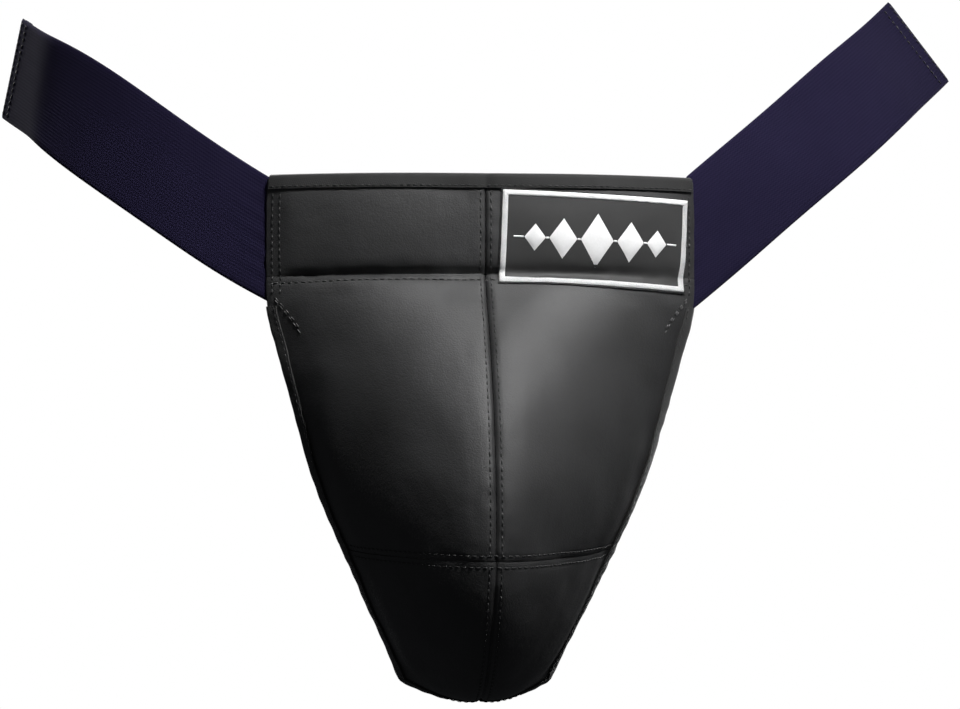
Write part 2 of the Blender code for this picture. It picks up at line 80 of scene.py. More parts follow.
RIM = np.array([
    (98.8, 10.2, 23.0), (99.3, 10.2, 9.0), (99.4, 10.2, -13.0), (99.4, 10.2, -22.2),
    (99.3, 10.3, -30.0), (98.2, 10.5, -39.0), (93.8, 11.0, -54.0), (89.2, 12.0, -71.0),
    (84.0, 13.5, -90.0), (78.3, 16.0, -110.0), (71.6, 18.5, -128.0), (62.8, 22.5, -148.0),
    (56.4, 26.0, -162.0), (51.0, 29.5, -174.0), (45.8, 33.0, -185.0), (41.2, 36.0, -195.0),
    (37.8, 38.8, -203.0), (35.2, 41.0, -209.5)])
SEAM_T, CROTCH_T, LAST_T = 3.0, 11.0, 17.0
CUP_HALF_U, CUP_MID_T, CUP_HALF_T = 0.66, 9.3, 5.0
WING_POSE = {
    "left": {"heading": (14.0, 26.5, 56.5), "climb": (38.0, 36.5, 24.0), "roll": (0.0, 16.0, 31.0)},
    "right": {"heading": (5.0, 23.0, 73.0), "climb": (28.0, 34.5, 15.5), "roll": (0.0, 9.0, 8.0)},
}
LEG_PATH = np.array([
    (15.4, 33.2, -214.0), (17.2, 47.0, -211.4), (22.0, 60.0, -201.0), (29.0, 71.0, -176.0), (38.5, 76.5, -143.0),
    (50.0, 72.5, -108.0), (61.0, 55.0, -77.0), (69.5, 31.0, -60.0), (73.5, 15.5, -51.5), (75.0, 10.7, -38.0)])


def cat(values, t):
    """A smooth curve through evenly numbered rows of values, at an array of places."""
    values = np.asarray(values, float)
    if values.ndim == 1:
        values = values[:, None]
    n = len(values) - 1
    t = np.clip(np.asarray(t, float), 0, n)
    i = np.minimum(t.astype(int), n - 1)
    f = (t - i)[..., None]
    p1, p2 = values[i], values[i + 1]
    p0 = np.where((i > 0)[..., None], values[np.maximum(i - 1, 0)], 2 * p1 - p2)
    p3 = np.where((i + 2 <= n)[..., None], values[np.minimum(i + 2, n)], 2 * p2 - p1)
    return 0.5 * (2 * p1 + (p2 - p0) * f + (2 * p0 - 5 * p1 + 4 * p2 - p3) * f**2 + (3 * p1 - p0 - 3 * p2 + p3) * f**3)


def smooth(x, lo=0.0, hi=1.0):
    x = np.clip((x - lo) / (hi - lo), 0, 1)
    return x * x * (3 - 2 * x)


def unit(v):
    v = np.asarray(v, float)
    return v / np.maximum(np.linalg.norm(v, axis=-1, keepdims=True), 1e-12)


def surface(u, t):
    u, t = np.broadcast_arrays(np.asarray(u, float), np.asarray(t, float))
    k, r = cat(KEEL, t), cat(RIM, t)
    a, w = np.abs(u), r[..., 0]
    belly = (np.maximum(0.0, a * w - FLAT_HALF) / (w - FLAT_HALF)) ** 2
    dome = a**DOME_POWER
    g = belly + (dome - belly) * smooth(t, SEAM_T, SEAM_T + 3.5)
    return np.stack([u * w, k[..., 0] + (r[..., 1] - k[..., 0]) * g, k[..., 1] + (r[..., 2] - k[..., 1]) * a * a], -1)


def normal(u, t):
    e = 2e-3
    du = surface(np.minimum(u + e, 1.0), t) - surface(np.maximum(u - e, -1.0), t)
    dt = surface(u, np.minimum(t + e, LAST_T)) - surface(u, np.maximum(t - e, 0.0))
    return unit(np.cross(dt, du))


def side_run(t):
    k, r = cat(KEEL, t), cat(RIM, t)
    return np.hypot(r[..., 0], (r[..., 1] - k[..., 0]) * 1.8)


TOP_IN, LIP_IN = 0.27, LAST_T - 0.5


def edge_distance(u, t):
    side = (1 - np.abs(u)) * side_run(t)
    top = np.where(t < TOP_IN, t / TOP_IN * BINDING_W, BINDING_W + (t - TOP_IN) * 20)
    lip = np.where(t > LIP_IN, (LAST_T - t) / 0.5 * BINDING_W, BINDING_W + (LIP_IN - t) * 20)
    return np.minimum(np.minimum(side, top), lip)


def foam_back(u, t):
    thin = np.interp(edge_distance(u, t), [0, BINDING_W, EDGE_TAPER], [0, EDGE_STEP, 1])
    return LEATHER_T + GAP + FOAM_T * (EDGE_FOAM_SHARE + (1 - EDGE_FOAM_SHARE) * thin)


def cup_radius(u, t):
    return (np.abs(u / CUP_HALF_U) ** 2.4 + np.abs((t - CUP_MID_T) / CUP_HALF_T) ** 2.4) ** (1 / 2.4)


def total_depth(u, t):
    bump = (CUP_FRONT_GAP + CUP_T + CUP_BACK_GAP - GAP) * (1 - smooth(cup_radius(u, t), 1.25, 1.45))
    return foam_back(u, t) + GAP + bump + LINING_T


def waves(p, length, seed, n=18):
    """Soft irregular waves of about that length in mm, about 1 high."""
    rng = np.random.default_rng(seed)
    d = unit(rng.normal(size=(n, 3)))
    k = 2 * math.pi / length * rng.uniform(0.65, 1.4, n)
    ph = rng.uniform(0, 2 * math.pi, n)
    return np.sin((p @ d.T) * k + ph).sum(-1) / math.sqrt(n / 2)


# ---------------------------------------------------------------- relief of the padded leather
def seam_distances(u, t):
    w = cat(RIM, t)[..., 0]
    centre = np.abs(u) * w
    facing = np.abs(t - SEAM_T) * 9.2
    crotch = np.abs(t - CROTCH_T) * 18.5
    return centre, facing, crotch


SIM = {"h": None, "u": None, "t": None}


def sim_field(u, t):
    """The swelling that the cloth simulation gave the cover, mm along the normal."""
    if SIM["h"] is None:
        return np.zeros(np.broadcast(u, t).shape)
    us, ts, h = SIM["u"], SIM["t"], SIM["h"]
    u, t = np.broadcast_arrays(np.asarray(u, float), np.asarray(t, float))
    i = np.clip(np.searchsorted(us, u) - 1, 0, len(us) - 2)
    j = np.clip(np.searchsorted(ts, t) - 1, 0, len(ts) - 2)
    fu = np.clip((u - us[i]) / (us[i + 1] - us[i]), 0, 1)
    ft = np.clip((t - ts[j]) / (ts[j + 1] - ts[j]), 0, 1)
    return (h[j, i] * (1 - fu) + h[j, i + 1] * fu) * (1 - ft) + (h[j + 1, i] * (1 - fu) + h[j + 1, i + 1] * fu) * ft


def crown(u, t):
    """Smooth swelling of the padding between its seams."""
    zk = cat(KEEL, t)[..., 1]
    v = np.clip((23 - zk) / 43.8, 0, 1)
    waist = 1.5 * (4 * v * (1 - v)) ** 0.75 * smooth(1 - np.abs(u), 0.0, 0.12)
    c, f, k = seam_distances(u, t)
    below = 1.5 * smooth(f, 0, 26) * smooth(edge_distance(u, t), 0, 26)
    return np.where(t < SEAM_T, waist, below)


SEAM_STITCH = 2.4


def height(u, t, seams=1.0):
    u, t = np.broadcast_arrays(np.asarray(u, float), np.asarray(t, float))
    p = surface(u, t)
    c, f, k = seam_distances(u, t)
    h = crown(u, t) + sim_field(u, t)
    inner = smooth(edge_distance(u, t), 0, 12)
    h = h + inner * (0.16 * waves(p, 60, 3) + 0.065 * waves(p, 23, 5) + 0.022 * waves(p, 8, 6))
    near = np.exp(-np.minimum(np.minimum(c, f), k) / 5.5)
    along = np.stack([p[..., 0] * 1.0, p[..., 1] * 0.6, p[..., 2] * 1.0], -1)
    h = h + 0.16 * near * waves(along, 9.0, 11) + 0.10 * np.exp(-edge_distance(u, t) / 7.0) * waves(along, 8.0, 12)
    upper = t < SEAM_T
    c_depth = np.where(upper, 0.5, 0.85 - 0.5 * smooth(t, 10.2, 12.0))
    run = (1 - np.abs(u)) * side_run(t)
    fade = seams * (0.12 + 0.88 * smooth(run, 1.0, 17.0))
    h = h - seams * (c_depth * np.exp(-((c / 1.7) ** 2)) + 0.8 * np.exp(-((c / 0.7) ** 2)))
    h = h - fade * (0.85 * np.exp(-((f / 3.0) ** 2)) + 0.5 * np.exp(-((f / 0.9) ** 2)))
    h = h - fade * (0.18 * np.exp(-((k / 2.6) ** 2)) + 0.26 * np.exp(-((k / 0.8) ** 2)))
    # furrows that the topstitching pulls in
    h = h - 0.15 * seams * np.exp(-(((c - SEAM_STITCH) / 0.7) ** 2))
    h = h - 0.13 * seams * np.exp(-(((f - 3.6) / 0.8) ** 2)) * (t > SEAM_T)
    h = h - 0.13 * seams * np.exp(-(((k - 2.6) / 0.7) ** 2))
    return h


def skin(u, t, lift=0.0, seams=1.0):
    u, t = np.broadcast_arrays(np.asarray(u, float), np.asarray(t, float))
    return surface(u, t) + normal(u, t) * (height(u, t, seams) + lift)[..., None]


# ---------------------------------------------------------------- mesh helpers
def new_object(name, verts, faces, uv=None):
    me = bpy.data.meshes.new(name)
    me.from_pydata([tuple(v) for v in np.asarray(verts, float) * MM], [], [tuple(int(i) for i in f) for f in faces])
    if uv is not None:
        layer = me.uv_layers.new(name="UVMap")
        loops = np.zeros(len(me.loops), int)
        me.loops.foreach_get("vertex_index", loops)
        layer.data.foreach_set("uv", np.asarray(uv, float)[loops].ravel())
    me.validate()
    me.shade_smooth()
    obj = bpy.data.objects.new(name, me)
    bpy.context.scene.collection.objects.link(obj)
    return obj


def grid(name, pts, facing, uv=None, closed=False):
    """A grid of points as one surface, wound so that its middle face looks along facing."""
    rows, cols = pts.shape[:2]
    idx = np.arange(rows * cols).reshape(rows, cols)
    nxt = np.roll(idx, -1, axis=1)
    m = cols if closed else cols - 1
    a, b = idx[:-1, :m].ravel(), nxt[:-1, :m].ravel()
    c, d = nxt[1:, :m].ravel(), idx[1:, :m].ravel()
    f = np.stack([a, b, c, d], 1)
    v = pts.reshape(-1, 3)
    n = np.cross(v[c] - v[a], v[d] - v[b])
    if callable(facing):
        want = facing(v[f].mean(1))
    else:
        want = np.broadcast_to(np.asarray(facing, float), n.shape)
    if (n * want).sum() < 0:
        f = f[:, ::-1]
    if uv is None:
        gu, gv = np.meshgrid(np.linspace(0, 1, cols), np.linspace(0, 1, rows))
        uv = np.stack([gu, gv], -1)
    return new_object(name, v, f, uv.reshape(-1, 2))


def bake(obj):
    """Applies what modifiers it has."""
    dg = bpy.context.evaluated_depsgraph_get()
    me = bpy.data.meshes.new_from_object(obj.evaluated_get(dg), preserve_all_data_layers=True, depsgraph=dg)
    obj.modifiers.clear()
    obj.data = me
    return obj


def thicken(obj, mm, offset=-1.0, soften=0.0):
    m = obj.modifiers.new("thick", "SOLIDIFY")
    m.thickness = mm * MM
    m.offset = offset
    m.use_even_offset = False
    m.use_quality_normals = True
    if soften:
        b = obj.modifiers.new("edge", "BEVEL")
        b.width = soften * MM
        b.segments = 2
        b.limit_method = "ANGLE"
        b.angle_limit = math.radians(50)
    bake(obj)
    obj.data.shade_smooth()
    obj.data.set_sharp_from_angle(angle=math.radians(60))
    return obj


def dress(obj, mat, body, slot, *nodes):
    obj.data.materials.clear()
    obj.data.materials.append(mat)
    if body:
        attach(obj, body)
    if nodes:
        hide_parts(*nodes)
    return obj


def resample(p, step):
    """Points every step mm along a polyline, with the fraction of the way along."""
    p = np.asarray(p, float)
    s = np.concatenate([[0], np.cumsum(np.linalg.norm(np.diff(p, axis=0), axis=1))])
    n = max(2, int(round(s[-1] / step)) + 1)
    at = np.linspace(0, s[-1], n)
    return np.stack([np.interp(at, s, p[:, k]) for k in range(3)], -1), at / s[-1]


STITCH = {}


def stitch_row(group, line, face, length=2.5, gap=0.9, width=0.62, height_mm=0.34, twist=0.0):
    """Thread laid as separate stitches along a line on a face whose outward normals are given."""
    line = np.asarray(line, float)
    face = np.asarray(face, float)
    s = np.concatenate([[0], np.cumsum(np.linalg.norm(np.diff(line, axis=0), axis=1))])
    total = s[-1]
    n = max(1, int(total / (length + gap)))
    pitch = total / n
    ring = [(math.cos(a), math.sin(a)) for a in np.linspace(0, 2 * math.pi, 7)[:-1]]
    verts, faces = STITCH.setdefault(group, ([], []))
    for k in range(n):
        mid = (k + 0.5) * pitch
        stations = []
        for off, r, sink in ((-0.5, 0.15, -0.30), (-0.36, 0.85, 0.02), (0.0, 1.0, 0.10), (0.36, 0.85, 0.02), (0.5, 0.15, -0.30)):
            at = mid + off * length
            c = np.array([np.interp(at, s, line[:, i]) for i in range(3)])
            nn = unit([np.interp(at, s, face[:, i]) for i in range(3)])
            stations.append((c, nn, r, sink, off))
        d = unit(stations[-1][0] - stations[0][0])
        first = len(verts)
        for c, nn, r, sink, off in stations:
            side = unit(np.cross(d, nn))
            cc = c + nn * (sink + height_mm * 0.3) + side * (twist * off * 2)
            for x, y in ring:
                verts.append(cc + side * (x * width / 2 * r) + nn * (y * height_mm * r))
        for a in range(4):
            for i in range(6):
                j = (i + 1) % 6
                faces.append((first + a * 6 + i, first + a * 6 + j, first + (a + 1) * 6 + j, first + (a + 1) * 6 + i))
        faces.append(tuple(first + i for i in range(5, -1, -1)))
        faces.append(tuple(first + 24 + i for i in range(6)))


def stitches_done(group, name, mat, body, slot):
    verts, faces = STITCH[group]
    obj = new_object(name, np.array(verts), faces)
    bm = bmesh.new()
    bm.from_mesh(obj.data)
    bmesh.ops.recalc_face_normals(bm, faces=bm.faces)
    bm.to_mesh(obj.data)
    bm.free()
    obj.data.shade_smooth()
    return dress(obj, mat, body, slot)


# ---------------------------------------------------------------- materials
class Nodes:
    def __init__(self, name):
        self.mat = bpy.data.materials.new(name)
        self.mat.use_nodes = True
        self.t = self.mat.node_tree
        self.bsdf = self.t.nodes["Principled BSDF"]

    def add(self, kind, **values):
        n = self.t.nodes.new(kind)
        for k, v in values.items():
            if k in n.inputs:
                n.inputs[k].default_value = v
            else:
                setattr(n, k, v)
        return n

    def link(self, a, b):
        self.t.links.new(a, b)

    def coords(self, which, scale=(1, 1, 1), rot=(0, 0, 0)):
        c = self.add("ShaderNodeTexCoord")
        m = self.add("ShaderNodeMapping")
        m.inputs["Scale"].default_value = scale
        m.inputs["Rotation"].default_value = rot
        self.link(c.outputs[which], m.inputs["Vector"])
        return m.outputs["Vector"]

    def ramp(self, source, stops, interpolation="LINEAR"):
        r = self.add("ShaderNodeValToRGB")
        r.color_ramp.interpolation = interpolation
        els = r.color_ramp.elements
        while len(els) < len(stops):
            els.new(0.5)
        for e, (at, col) in zip(els, stops):
            e.position = at
            e.color = (*col, 1) if len(col) == 3 else col
        self.link(source, r.inputs["Fac"])
        return r.outputs["Color"]

    def math(self, op, a, b=None, c=None):
        m = self.add("ShaderNodeMath", operation=op)
        for i, v in enumerate((a, b, c)):
            if v is None:
                continue
            if isinstance(v, (int, float)):
                m.inputs[i].default_value = v
            else:
                self.link(v, m.inputs[i])
        return m.outputs[0]

    def bump(self, layers):
        """layers: (height socket, distance in mm, strength)."""
        last = None
        for socket, dist, strength in layers:
            b = self.add("ShaderNodeBump")
            b.inputs["Distance"].default_value = dist * MM
            b.inputs["Strength"].default_value = strength
            self.link(socket, b.inputs["Height"])
            if last is not None:
                self.link(last, b.inputs["Normal"])
            last = b.outputs["Normal"]
        self.link(last, self.bsdf.inputs["Normal"])


def grey(v):
    return (v, v, v)


def leather(name, base=0.0175, rough=(0.40, 0.55), grain=1.0):
    m = Nodes(name)
    pos = m.coords("Object", (1, 1, 1))
    cells = m.add("ShaderNodeTexVoronoi", feature="DISTANCE_TO_EDGE", Scale=780.0)
    warp = m.add("ShaderNodeTexNoise", Scale=260.0, Detail=3.0)
    mixv = m.add("ShaderNodeMix", data_type="VECTOR")
    mixv.inputs["Factor"].default_value = 0.0035
    m.link(pos, warp.inputs["Vector"])
    m.link(pos, mixv.inputs[4])
    m.link(warp.outputs["Color"], mixv.inputs[5])
    m.link(mixv.outputs[1], cells.inputs["Vector"])
    pebble = m.ramp(cells.outputs["Distance"], [(0.0, grey(0)), (0.12, grey(0.7)), (0.4, grey(1))])
    fine = m.add("ShaderNodeTexNoise", Scale=2600.0, Detail=2.0)
    m.link(pos, fine.inputs["Vector"])
    crease = m.add("ShaderNodeTexNoise", Scale=90.0, Detail=6.0, Roughness=0.62)
    m.link(pos, crease.inputs["Vector"])
    broad = m.add("ShaderNodeTexNoise", Scale=22.0, Detail=4.0, Roughness=0.6)
    m.link(pos, broad.inputs["Vector"])
    m.link(m.ramp(broad.outputs["Fac"], [(0.3, (base * 0.82,) * 3), (0.7, (base * 1.2, base * 1.2, base * 1.24))]), m.bsdf.inputs["Base Color"])
    r = m.math("MULTIPLY_ADD", crease.outputs["Fac"], rough[1] - rough[0], rough[0])
    r = m.math("SUBTRACT", r, m.math("MULTIPLY", pebble, 0.05))
    m.link(r, m.bsdf.inputs["Roughness"])
    m.bsdf.inputs["Specular IOR Level"].default_value = 0.5
    m.bsdf.inputs["Coat Weight"].default_value = 0.0
    m.bsdf.inputs["Coat Roughness"].default_value = 0.35
    m.bump([(crease.outputs["Fac"], 0.8, 0.35 * grain), (pebble, 0.10, 0.55 * grain), (fine.outputs["Fac"], 0.05, 0.3)])
    return m.mat


def woven(name, colour, colour2, pitch=(0.9, 0.9), rough=0.85, sheen=0.35, tint=(1, 1, 1), fuzz=0.4, relief=0.12, coords="UV", twill=False, spec=0.25, hair=0.6):
    """A weave whose UVs are in metres: ribs along u at one pitch in mm, crossed along v at another."""
    m = Nodes(name)
    uv = m.coords(coords, (1, 1, 1), (0, 0, math.radians(45) if twill else 0))
    sep = m.add("ShaderNodeSeparateXYZ")
    m.link(uv, sep.inputs[0])
    wx = m.math("SINE", m.math("MULTIPLY", sep.outputs["X"], 2 * math.pi / (pitch[0] * MM)))
    wy = m.math("SINE", m.math("MULTIPLY", sep.outputs["Y"], 2 * math.pi / (pitch[1] * MM)))
    weave = m.math("MULTIPLY_ADD", m.math("MULTIPLY", wx, wy), 0.5, 0.5)
    rib = m.math("MULTIPLY_ADD", wy, 0.5, 0.5)
    both = m.math("ADD", m.math("MULTIPLY", weave, 0.5), m.math("MULTIPLY", rib, 0.5))
    pos = m.coords("Object")
    fibre = m.add("ShaderNodeTexNoise", Scale=1900.0, Detail=3.0, Roughness=0.7)
    m.link(pos, fibre.inputs["Vector"])
    patch = m.add("ShaderNodeTexNoise", Scale=34.0, Detail=5.0, Roughness=0.6)
    m.link(pos, patch.inputs["Vector"])
    f = m.math("ADD", m.math("MULTIPLY", both, 0.45), m.math("ADD", m.math("MULTIPLY", fibre.outputs["Fac"], fuzz), m.math("MULTIPLY", patch.outputs["Fac"], 0.35)))
    m.link(m.ramp(f, [(0.25, colour), (0.95, colour2)]), m.bsdf.inputs["Base Color"])
    m.link(m.math("MULTIPLY_ADD", fibre.outputs["Fac"], 0.12, rough - 0.06), m.bsdf.inputs["Roughness"])
    m.bsdf.inputs["Sheen Weight"].default_value = sheen
    m.bsdf.inputs["Sheen Roughness"].default_value = 0.5
    m.bsdf.inputs["Sheen Tint"].default_value = (*tint, 1)
    m.bsdf.inputs["Specular IOR Level"].default_value = spec
    m.bump([(both, relief, 0.7), (fibre.outputs["Fac"], 0.06, hair)])
    return m.mat


def knit(name, colour, colour2):
    """Spacer knit: a lattice of small holes."""
    m = Nodes(name)
    pos = m.coords("UV")
    v = m.add("ShaderNodeTexVoronoi", feature="F1", Scale=420.0, Randomness=0.12, voronoi_dimensions="2D")
    m.link(pos, v.inputs["Vector"])
    hole = m.ramp(v.outputs["Distance"], [(0.18, grey(0)), (0.34, grey(1))])
    o = m.coords("Object")
    fibre = m.add("ShaderNodeTexNoise", Scale=1700.0, Detail=2.0)
    m.link(o, fibre.inputs["Vector"])
    patch = m.add("ShaderNodeTexNoise", Scale=26.0, Detail=4.0)
    m.link(o, patch.inputs["Vector"])
    f = m.math("MULTIPLY", m.math("MULTIPLY_ADD", patch.outputs["Fac"], 0.5, 0.7), m.math("MULTIPLY_ADD", fibre.outputs["Fac"], 0.5, 0.6))
    f = m.math("MULTIPLY", f, m.math("MULTIPLY_ADD", hole, 0.75, 0.25))
    m.link(m.ramp(f, [(0.1, colour), (0.95, colour2)]), m.bsdf.inputs["Base Color"])
    m.link(m.math("MULTIPLY_ADD", fibre.outputs["Fac"], 0.1, 0.8), m.bsdf.inputs["Roughness"])
    m.bsdf.inputs["Sheen Weight"].default_value = 0.3
    m.bsdf.inputs["Specular IOR Level"].default_value = 0.25
    m.bump([(hole, 0.30, 0.8), (fibre.outputs["Fac"], 0.08, 0.5)])
    return m.mat


def satin(name, colour, colour2, pitch=0.45, angle=0.0, rough=0.45):
    """Raised thread laid side by side."""
    m = Nodes(name)
    uv = m.coords("UV", (1, 1, 1), (0, 0, angle))
    sep = m.add("ShaderNodeSeparateXYZ")
    m.link(uv, sep.inputs[0])
    w = m.math("MULTIPLY_ADD", m.math("SINE", m.math("MULTIPLY", sep.outputs["X"], 2 * math.pi / (pitch * MM))), 0.5, 0.5)
    o = m.coords("Object")
    n = m.add("ShaderNodeTexNoise", Scale=900.0, Detail=3.0)
    m.link(o, n.inputs["Vector"])
    f = m.math("ADD", m.math("MULTIPLY", w, 0.6), m.math("MULTIPLY", n.outputs["Fac"], 0.5))
    m.link(m.ramp(f, [(0.1, colour), (0.8, colour2)]), m.bsdf.inputs["Base Color"])
    m.link(m.math("MULTIPLY_ADD", n.outputs["Fac"], 0.2, rough), m.bsdf.inputs["Roughness"])
    m.bsdf.inputs["Sheen Weight"].default_value = 0.1
    m.bump([(w, 0.12, 0.8), (n.outputs["Fac"], 0.05, 0.4)])
    return m.mat


def plain(name, colour, colour2, scale, rough, dist, strength, spec=0.5):
    m = Nodes(name)
    o = m.coords("Object")
    n = m.add("ShaderNodeTexNoise", Scale=scale, Detail=4.0)
    m.link(o, n.inputs["Vector"])
    m.link(m.ramp(n.outputs["Fac"], [(0.3, colour), (0.7, colour2)]), m.bsdf.inputs["Base Color"])
    m.link(m.math("MULTIPLY_ADD", n.outputs["Fac"], 0.15, rough - 0.07), m.bsdf.inputs["Roughness"])
    m.bsdf.inputs["Specular IOR Level"].default_value = spec
    m.bump([(n.outputs["Fac"], dist, strength)])
    return m.mat


M_LEATHER = leather("leather_black", rough=(0.57, 0.70), grain=0.8)
M_TAPE = woven("tape_black", grey(0.006), grey(0.022), pitch=(0.9, 0.7), rough=0.72, sheen=0.25, fuzz=0.25, relief=0.10, twill=True)
M_ELASTIC = woven("elastic_navy", (0.0062, 0.0050, 0.0165), (0.0160, 0.0132, 0.0370), pitch=(1.1, 1.5), rough=0.95, sheen=0.06, tint=(0.6, 0.55, 1.0), fuzz=0.22, relief=0.12, spec=0.06, hair=0.25)
M_LINING = knit("knit_black", grey(0.006), grey(0.034))
M_THREAD = plain("thread_black", grey(0.010), grey(0.020), 2200.0, 0.5, 0.05, 0.5)
M_TACK = plain("thread_grey", grey(0.035), grey(0.06), 2200.0, 0.5, 0.05, 0.5)
M_LABEL = woven("label_satin", grey(0.020), grey(0.050), pitch=(0.35, 0.35), rough=0.55, sheen=0.15, fuzz=0.2, relief=0.03)
M_WHITE = satin("thread_white", grey(0.70), grey(0.88))
M_FOAM = plain("foam_grey", grey(0.22), grey(0.34), 900.0, 0.9, 0.2, 0.6, 0.2)
M_CUP = plain("cup_white", grey(0.55), grey(0.66), 60.0, 0.38, 0.1, 0.15)
M_GASKET = plain("gasket_black", grey(0.035), grey(0.06), 400.0, 0.65, 0.1, 0.3)
M_HOOK = woven("hook_black", grey(0.004), grey(0.030), pitch=(1.3, 1.3), rough=0.55, sheen=0.05, fuzz=0.5, relief=0.5)

# ---------------------------------------------------------------- cloth simulation of the padded cover
SIM_US = np.unique(np.concatenate([-np.sin(np.linspace(0, math.pi / 2, 21)), np.sin(np.linspace(0, math.pi / 2, 21))]))
SIM_TS = np.concatenate([np.linspace(0, 3, 11), np.linspace(3, 11, 33)[1:], np.linspace(11, 17, 22)[1:]])


def simulate_cover():
    """The cover as one cloth held along its seams and edges, blown out over the padding a little; returns mm along the normal."""
    us, ts = np.meshgrid(SIM_US, SIM_TS)
    base = surface(us, ts)
    nn = normal(us, ts)
    obj = grid("cover_cloth", base, (0, -1, 0))
    c, f, k = seam_distances(us, ts)
    held = (np.minimum(np.minimum(c, f), k) < 1.0) | (edge_distance(us, ts) < 1.5)
    vg = obj.vertex_groups.new(name="held")
    vg.add([int(i) for i in np.flatnonzero(held.ravel())], 1.0, "REPLACE")
    mod = obj.modifiers.new("cloth", "CLOTH")
    s = mod.settings
    s.quality = 6
    s.mass = 0.25
    s.tension_stiffness = s.compression_stiffness = 12
    s.shear_stiffness = 4
    s.bending_stiffness = 0.35
    s.vertex_group_mass = "held"
    s.pin_stiffness = 1.0
    s.use_pressure = True
    s.uniform_pressure_force = 3.0
    s.shrink_min = -0.018
    s.effector_weights.gravity = 0.0
    mod.collision_settings.use_collision = False
    scene = bpy.context.scene
    scene.frame_start, scene.frame_end = 1, 20
    mod.point_cache.frame_start, mod.point_cache.frame_end = 1, 20
    for fr in range(1, 21):
        scene.frame_set(fr)
    dg = bpy.context.evaluated_depsgraph_get()
    ev = obj.evaluated_get(dg).to_mesh()
    co = np.zeros(len(ev.vertices) * 3)
    ev.vertices.foreach_get("co", co)
    co = co.reshape(base.shape) / MM
    h = ((co - base) * nn).sum(-1)
    obj.evaluated_get(dg).to_mesh_clear()
    scene.frame_set(1)
    bpy.data.objects.remove(obj)
    # capped, and the mean swelling is kept small: the CAD already holds the padded shape
    h = np.tanh(h / 2.2) * 1.3
    h[held] = 0.0
    for _ in range(3):   # the padding is firm, so the smallest dents are evened out
        q = np.pad(h, 1, mode="edge")
        even = (q[:-2, 1:-1] + q[2:, 1:-1] + q[1:-1, :-2] + q[1:-1, 2:] + 4 * h) / 8
        h = np.where(held, h, even)
    return h


SIM["h"] = simulate_cover()
SIM["u"], SIM["t"] = SIM_US, SIM_TS
print("cover simulation: swelling from", float(SIM["h"].min()), "to", float(SIM["h"].max()), "mm")


# ---------------------------------------------------------------- leather panels
def ease(n, lo, hi, ends=0.3):
    s = np.linspace(0, 1, n)
    return lo + (hi - lo) * (s - (1 - ends) * np.sin(2 * math.pi * s) / (2 * math.pi))


def one_end(n, lo, hi, power=1.5):
    return lo + (hi - lo) * np.linspace(0, 1, n) ** power


def panel(name, us, ts, roll_left=False, roll_right=False):
    gu, gt = np.meshgrid(us, ts)
    pts = skin(gu, gt)
    w = np.stack([gu * 0.12, gt * 0.0125], -1)
    for sign, on in ((-1.0, roll_left), (1.0, roll_right)):
        if not on:
            continue
        tt = np.asarray(ts, float)
        e, n = skin(sign, tt), normal(np.full_like(tt, sign), tt)
        out = unit(surface(np.full_like(tt, sign), tt) - surface(np.full_like(tt, sign * 0.97), tt))
        extra = np.stack([e + out * a - n * b for a, b in ((0.4, 0.15), (0.7, 0.6), (0.65, 1.2), (0.2, 1.7))], 1)
        pts = np.concatenate([extra[:, ::-1], pts], 1) if sign < 0 else np.concatenate([pts, extra], 1)
        pad = np.repeat(w[:, :1] if sign < 0 else w[:, -1:], 4, axis=1)
        w = np.concatenate([pad, w], 1) if sign < 0 else np.concatenate([w, pad], 1)
    obj = grid(name, pts, (0, -1, -0.2), w)
    thicken(obj, 1.0, -1.0)
    return obj


half_fine = one_end(60, 0.002, 1.0, 1.45)
facing_ts = 3.0 - one_end(46, 0.012, 3.0, 1.45)[::-1]
front_ts = ease(118, 3.012, 10.99, 0.22)
crotch_ts = one_end(62, 11.01, 17.0, 1.25)
for side, sign in (("left", 1), ("right", -1)):
    us = half_fine if sign > 0 else -half_fine[::-1]
    obj = panel(f"waist_leather_{side}", us, facing_ts, roll_left=sign < 0, roll_right=sign > 0)
    dress(obj, M_LEATHER, "shell", "shell_leather", f"waist_facing_{side}")
    obj = panel(f"front_leather_{side}", us, front_ts, roll_left=sign < 0, roll_right=sign > 0)
    dress(obj, M_LEATHER, "shell", "shell_leather", f"front_panel_{side}")
full = np.concatenate([-half_fine[::-1], half_fine])
obj = panel("crotch_leather", full, crotch_ts)
dress(obj, M_LEATHER, "shell", "shell_leather", "crotch_panel")

# padding under the leather: a crowned pad, thinner at its edges
for name, node, t0, t1, rows in (("waist_pad", "waist_foam", 0.08, 2.93, 22), ("front_pad", "front_foam", 3.07, 16.92, 70)):
    us, ts = np.sin(np.linspace(-1, 1, 45) * math.pi / 2) * 0.972, np.linspace(t0, t1, rows)
    gu, gt = np.meshgrid(us, ts)
    front = surface(gu, gt) + normal(gu, gt) * (height(gu, gt) - 1.5)[..., None]
    back = surface(gu, gt) - normal(gu, gt) * foam_back(gu, gt)[..., None]
    loop = np.concatenate([front, back[:, ::-1]], 1)
    mid = loop.mean(axis=(0, 1))
    obj = grid(name, loop, lambda c, m=mid: np.stack([np.zeros(len(c)), np.sign(c[:, 1] - m[1]), np.zeros(len(c))], -1) * 0 + (c - m), closed=True)
    bm = bmesh.new()
    bm.from_mesh(obj.data)
    bmesh.ops.holes_fill(bm, edges=[e for e in bm.edges if e.is_boundary], sides=0)
    bmesh.ops.triangulate(bm, faces=[f for f in bm.faces if len(f.verts) > 4])
    bmesh.ops.recalc_face_normals(bm, faces=bm.faces)
    bm.to_mesh(obj.data)
    bm.free()
    dress(obj, M_FOAM, "shell", "eva_foam", node)

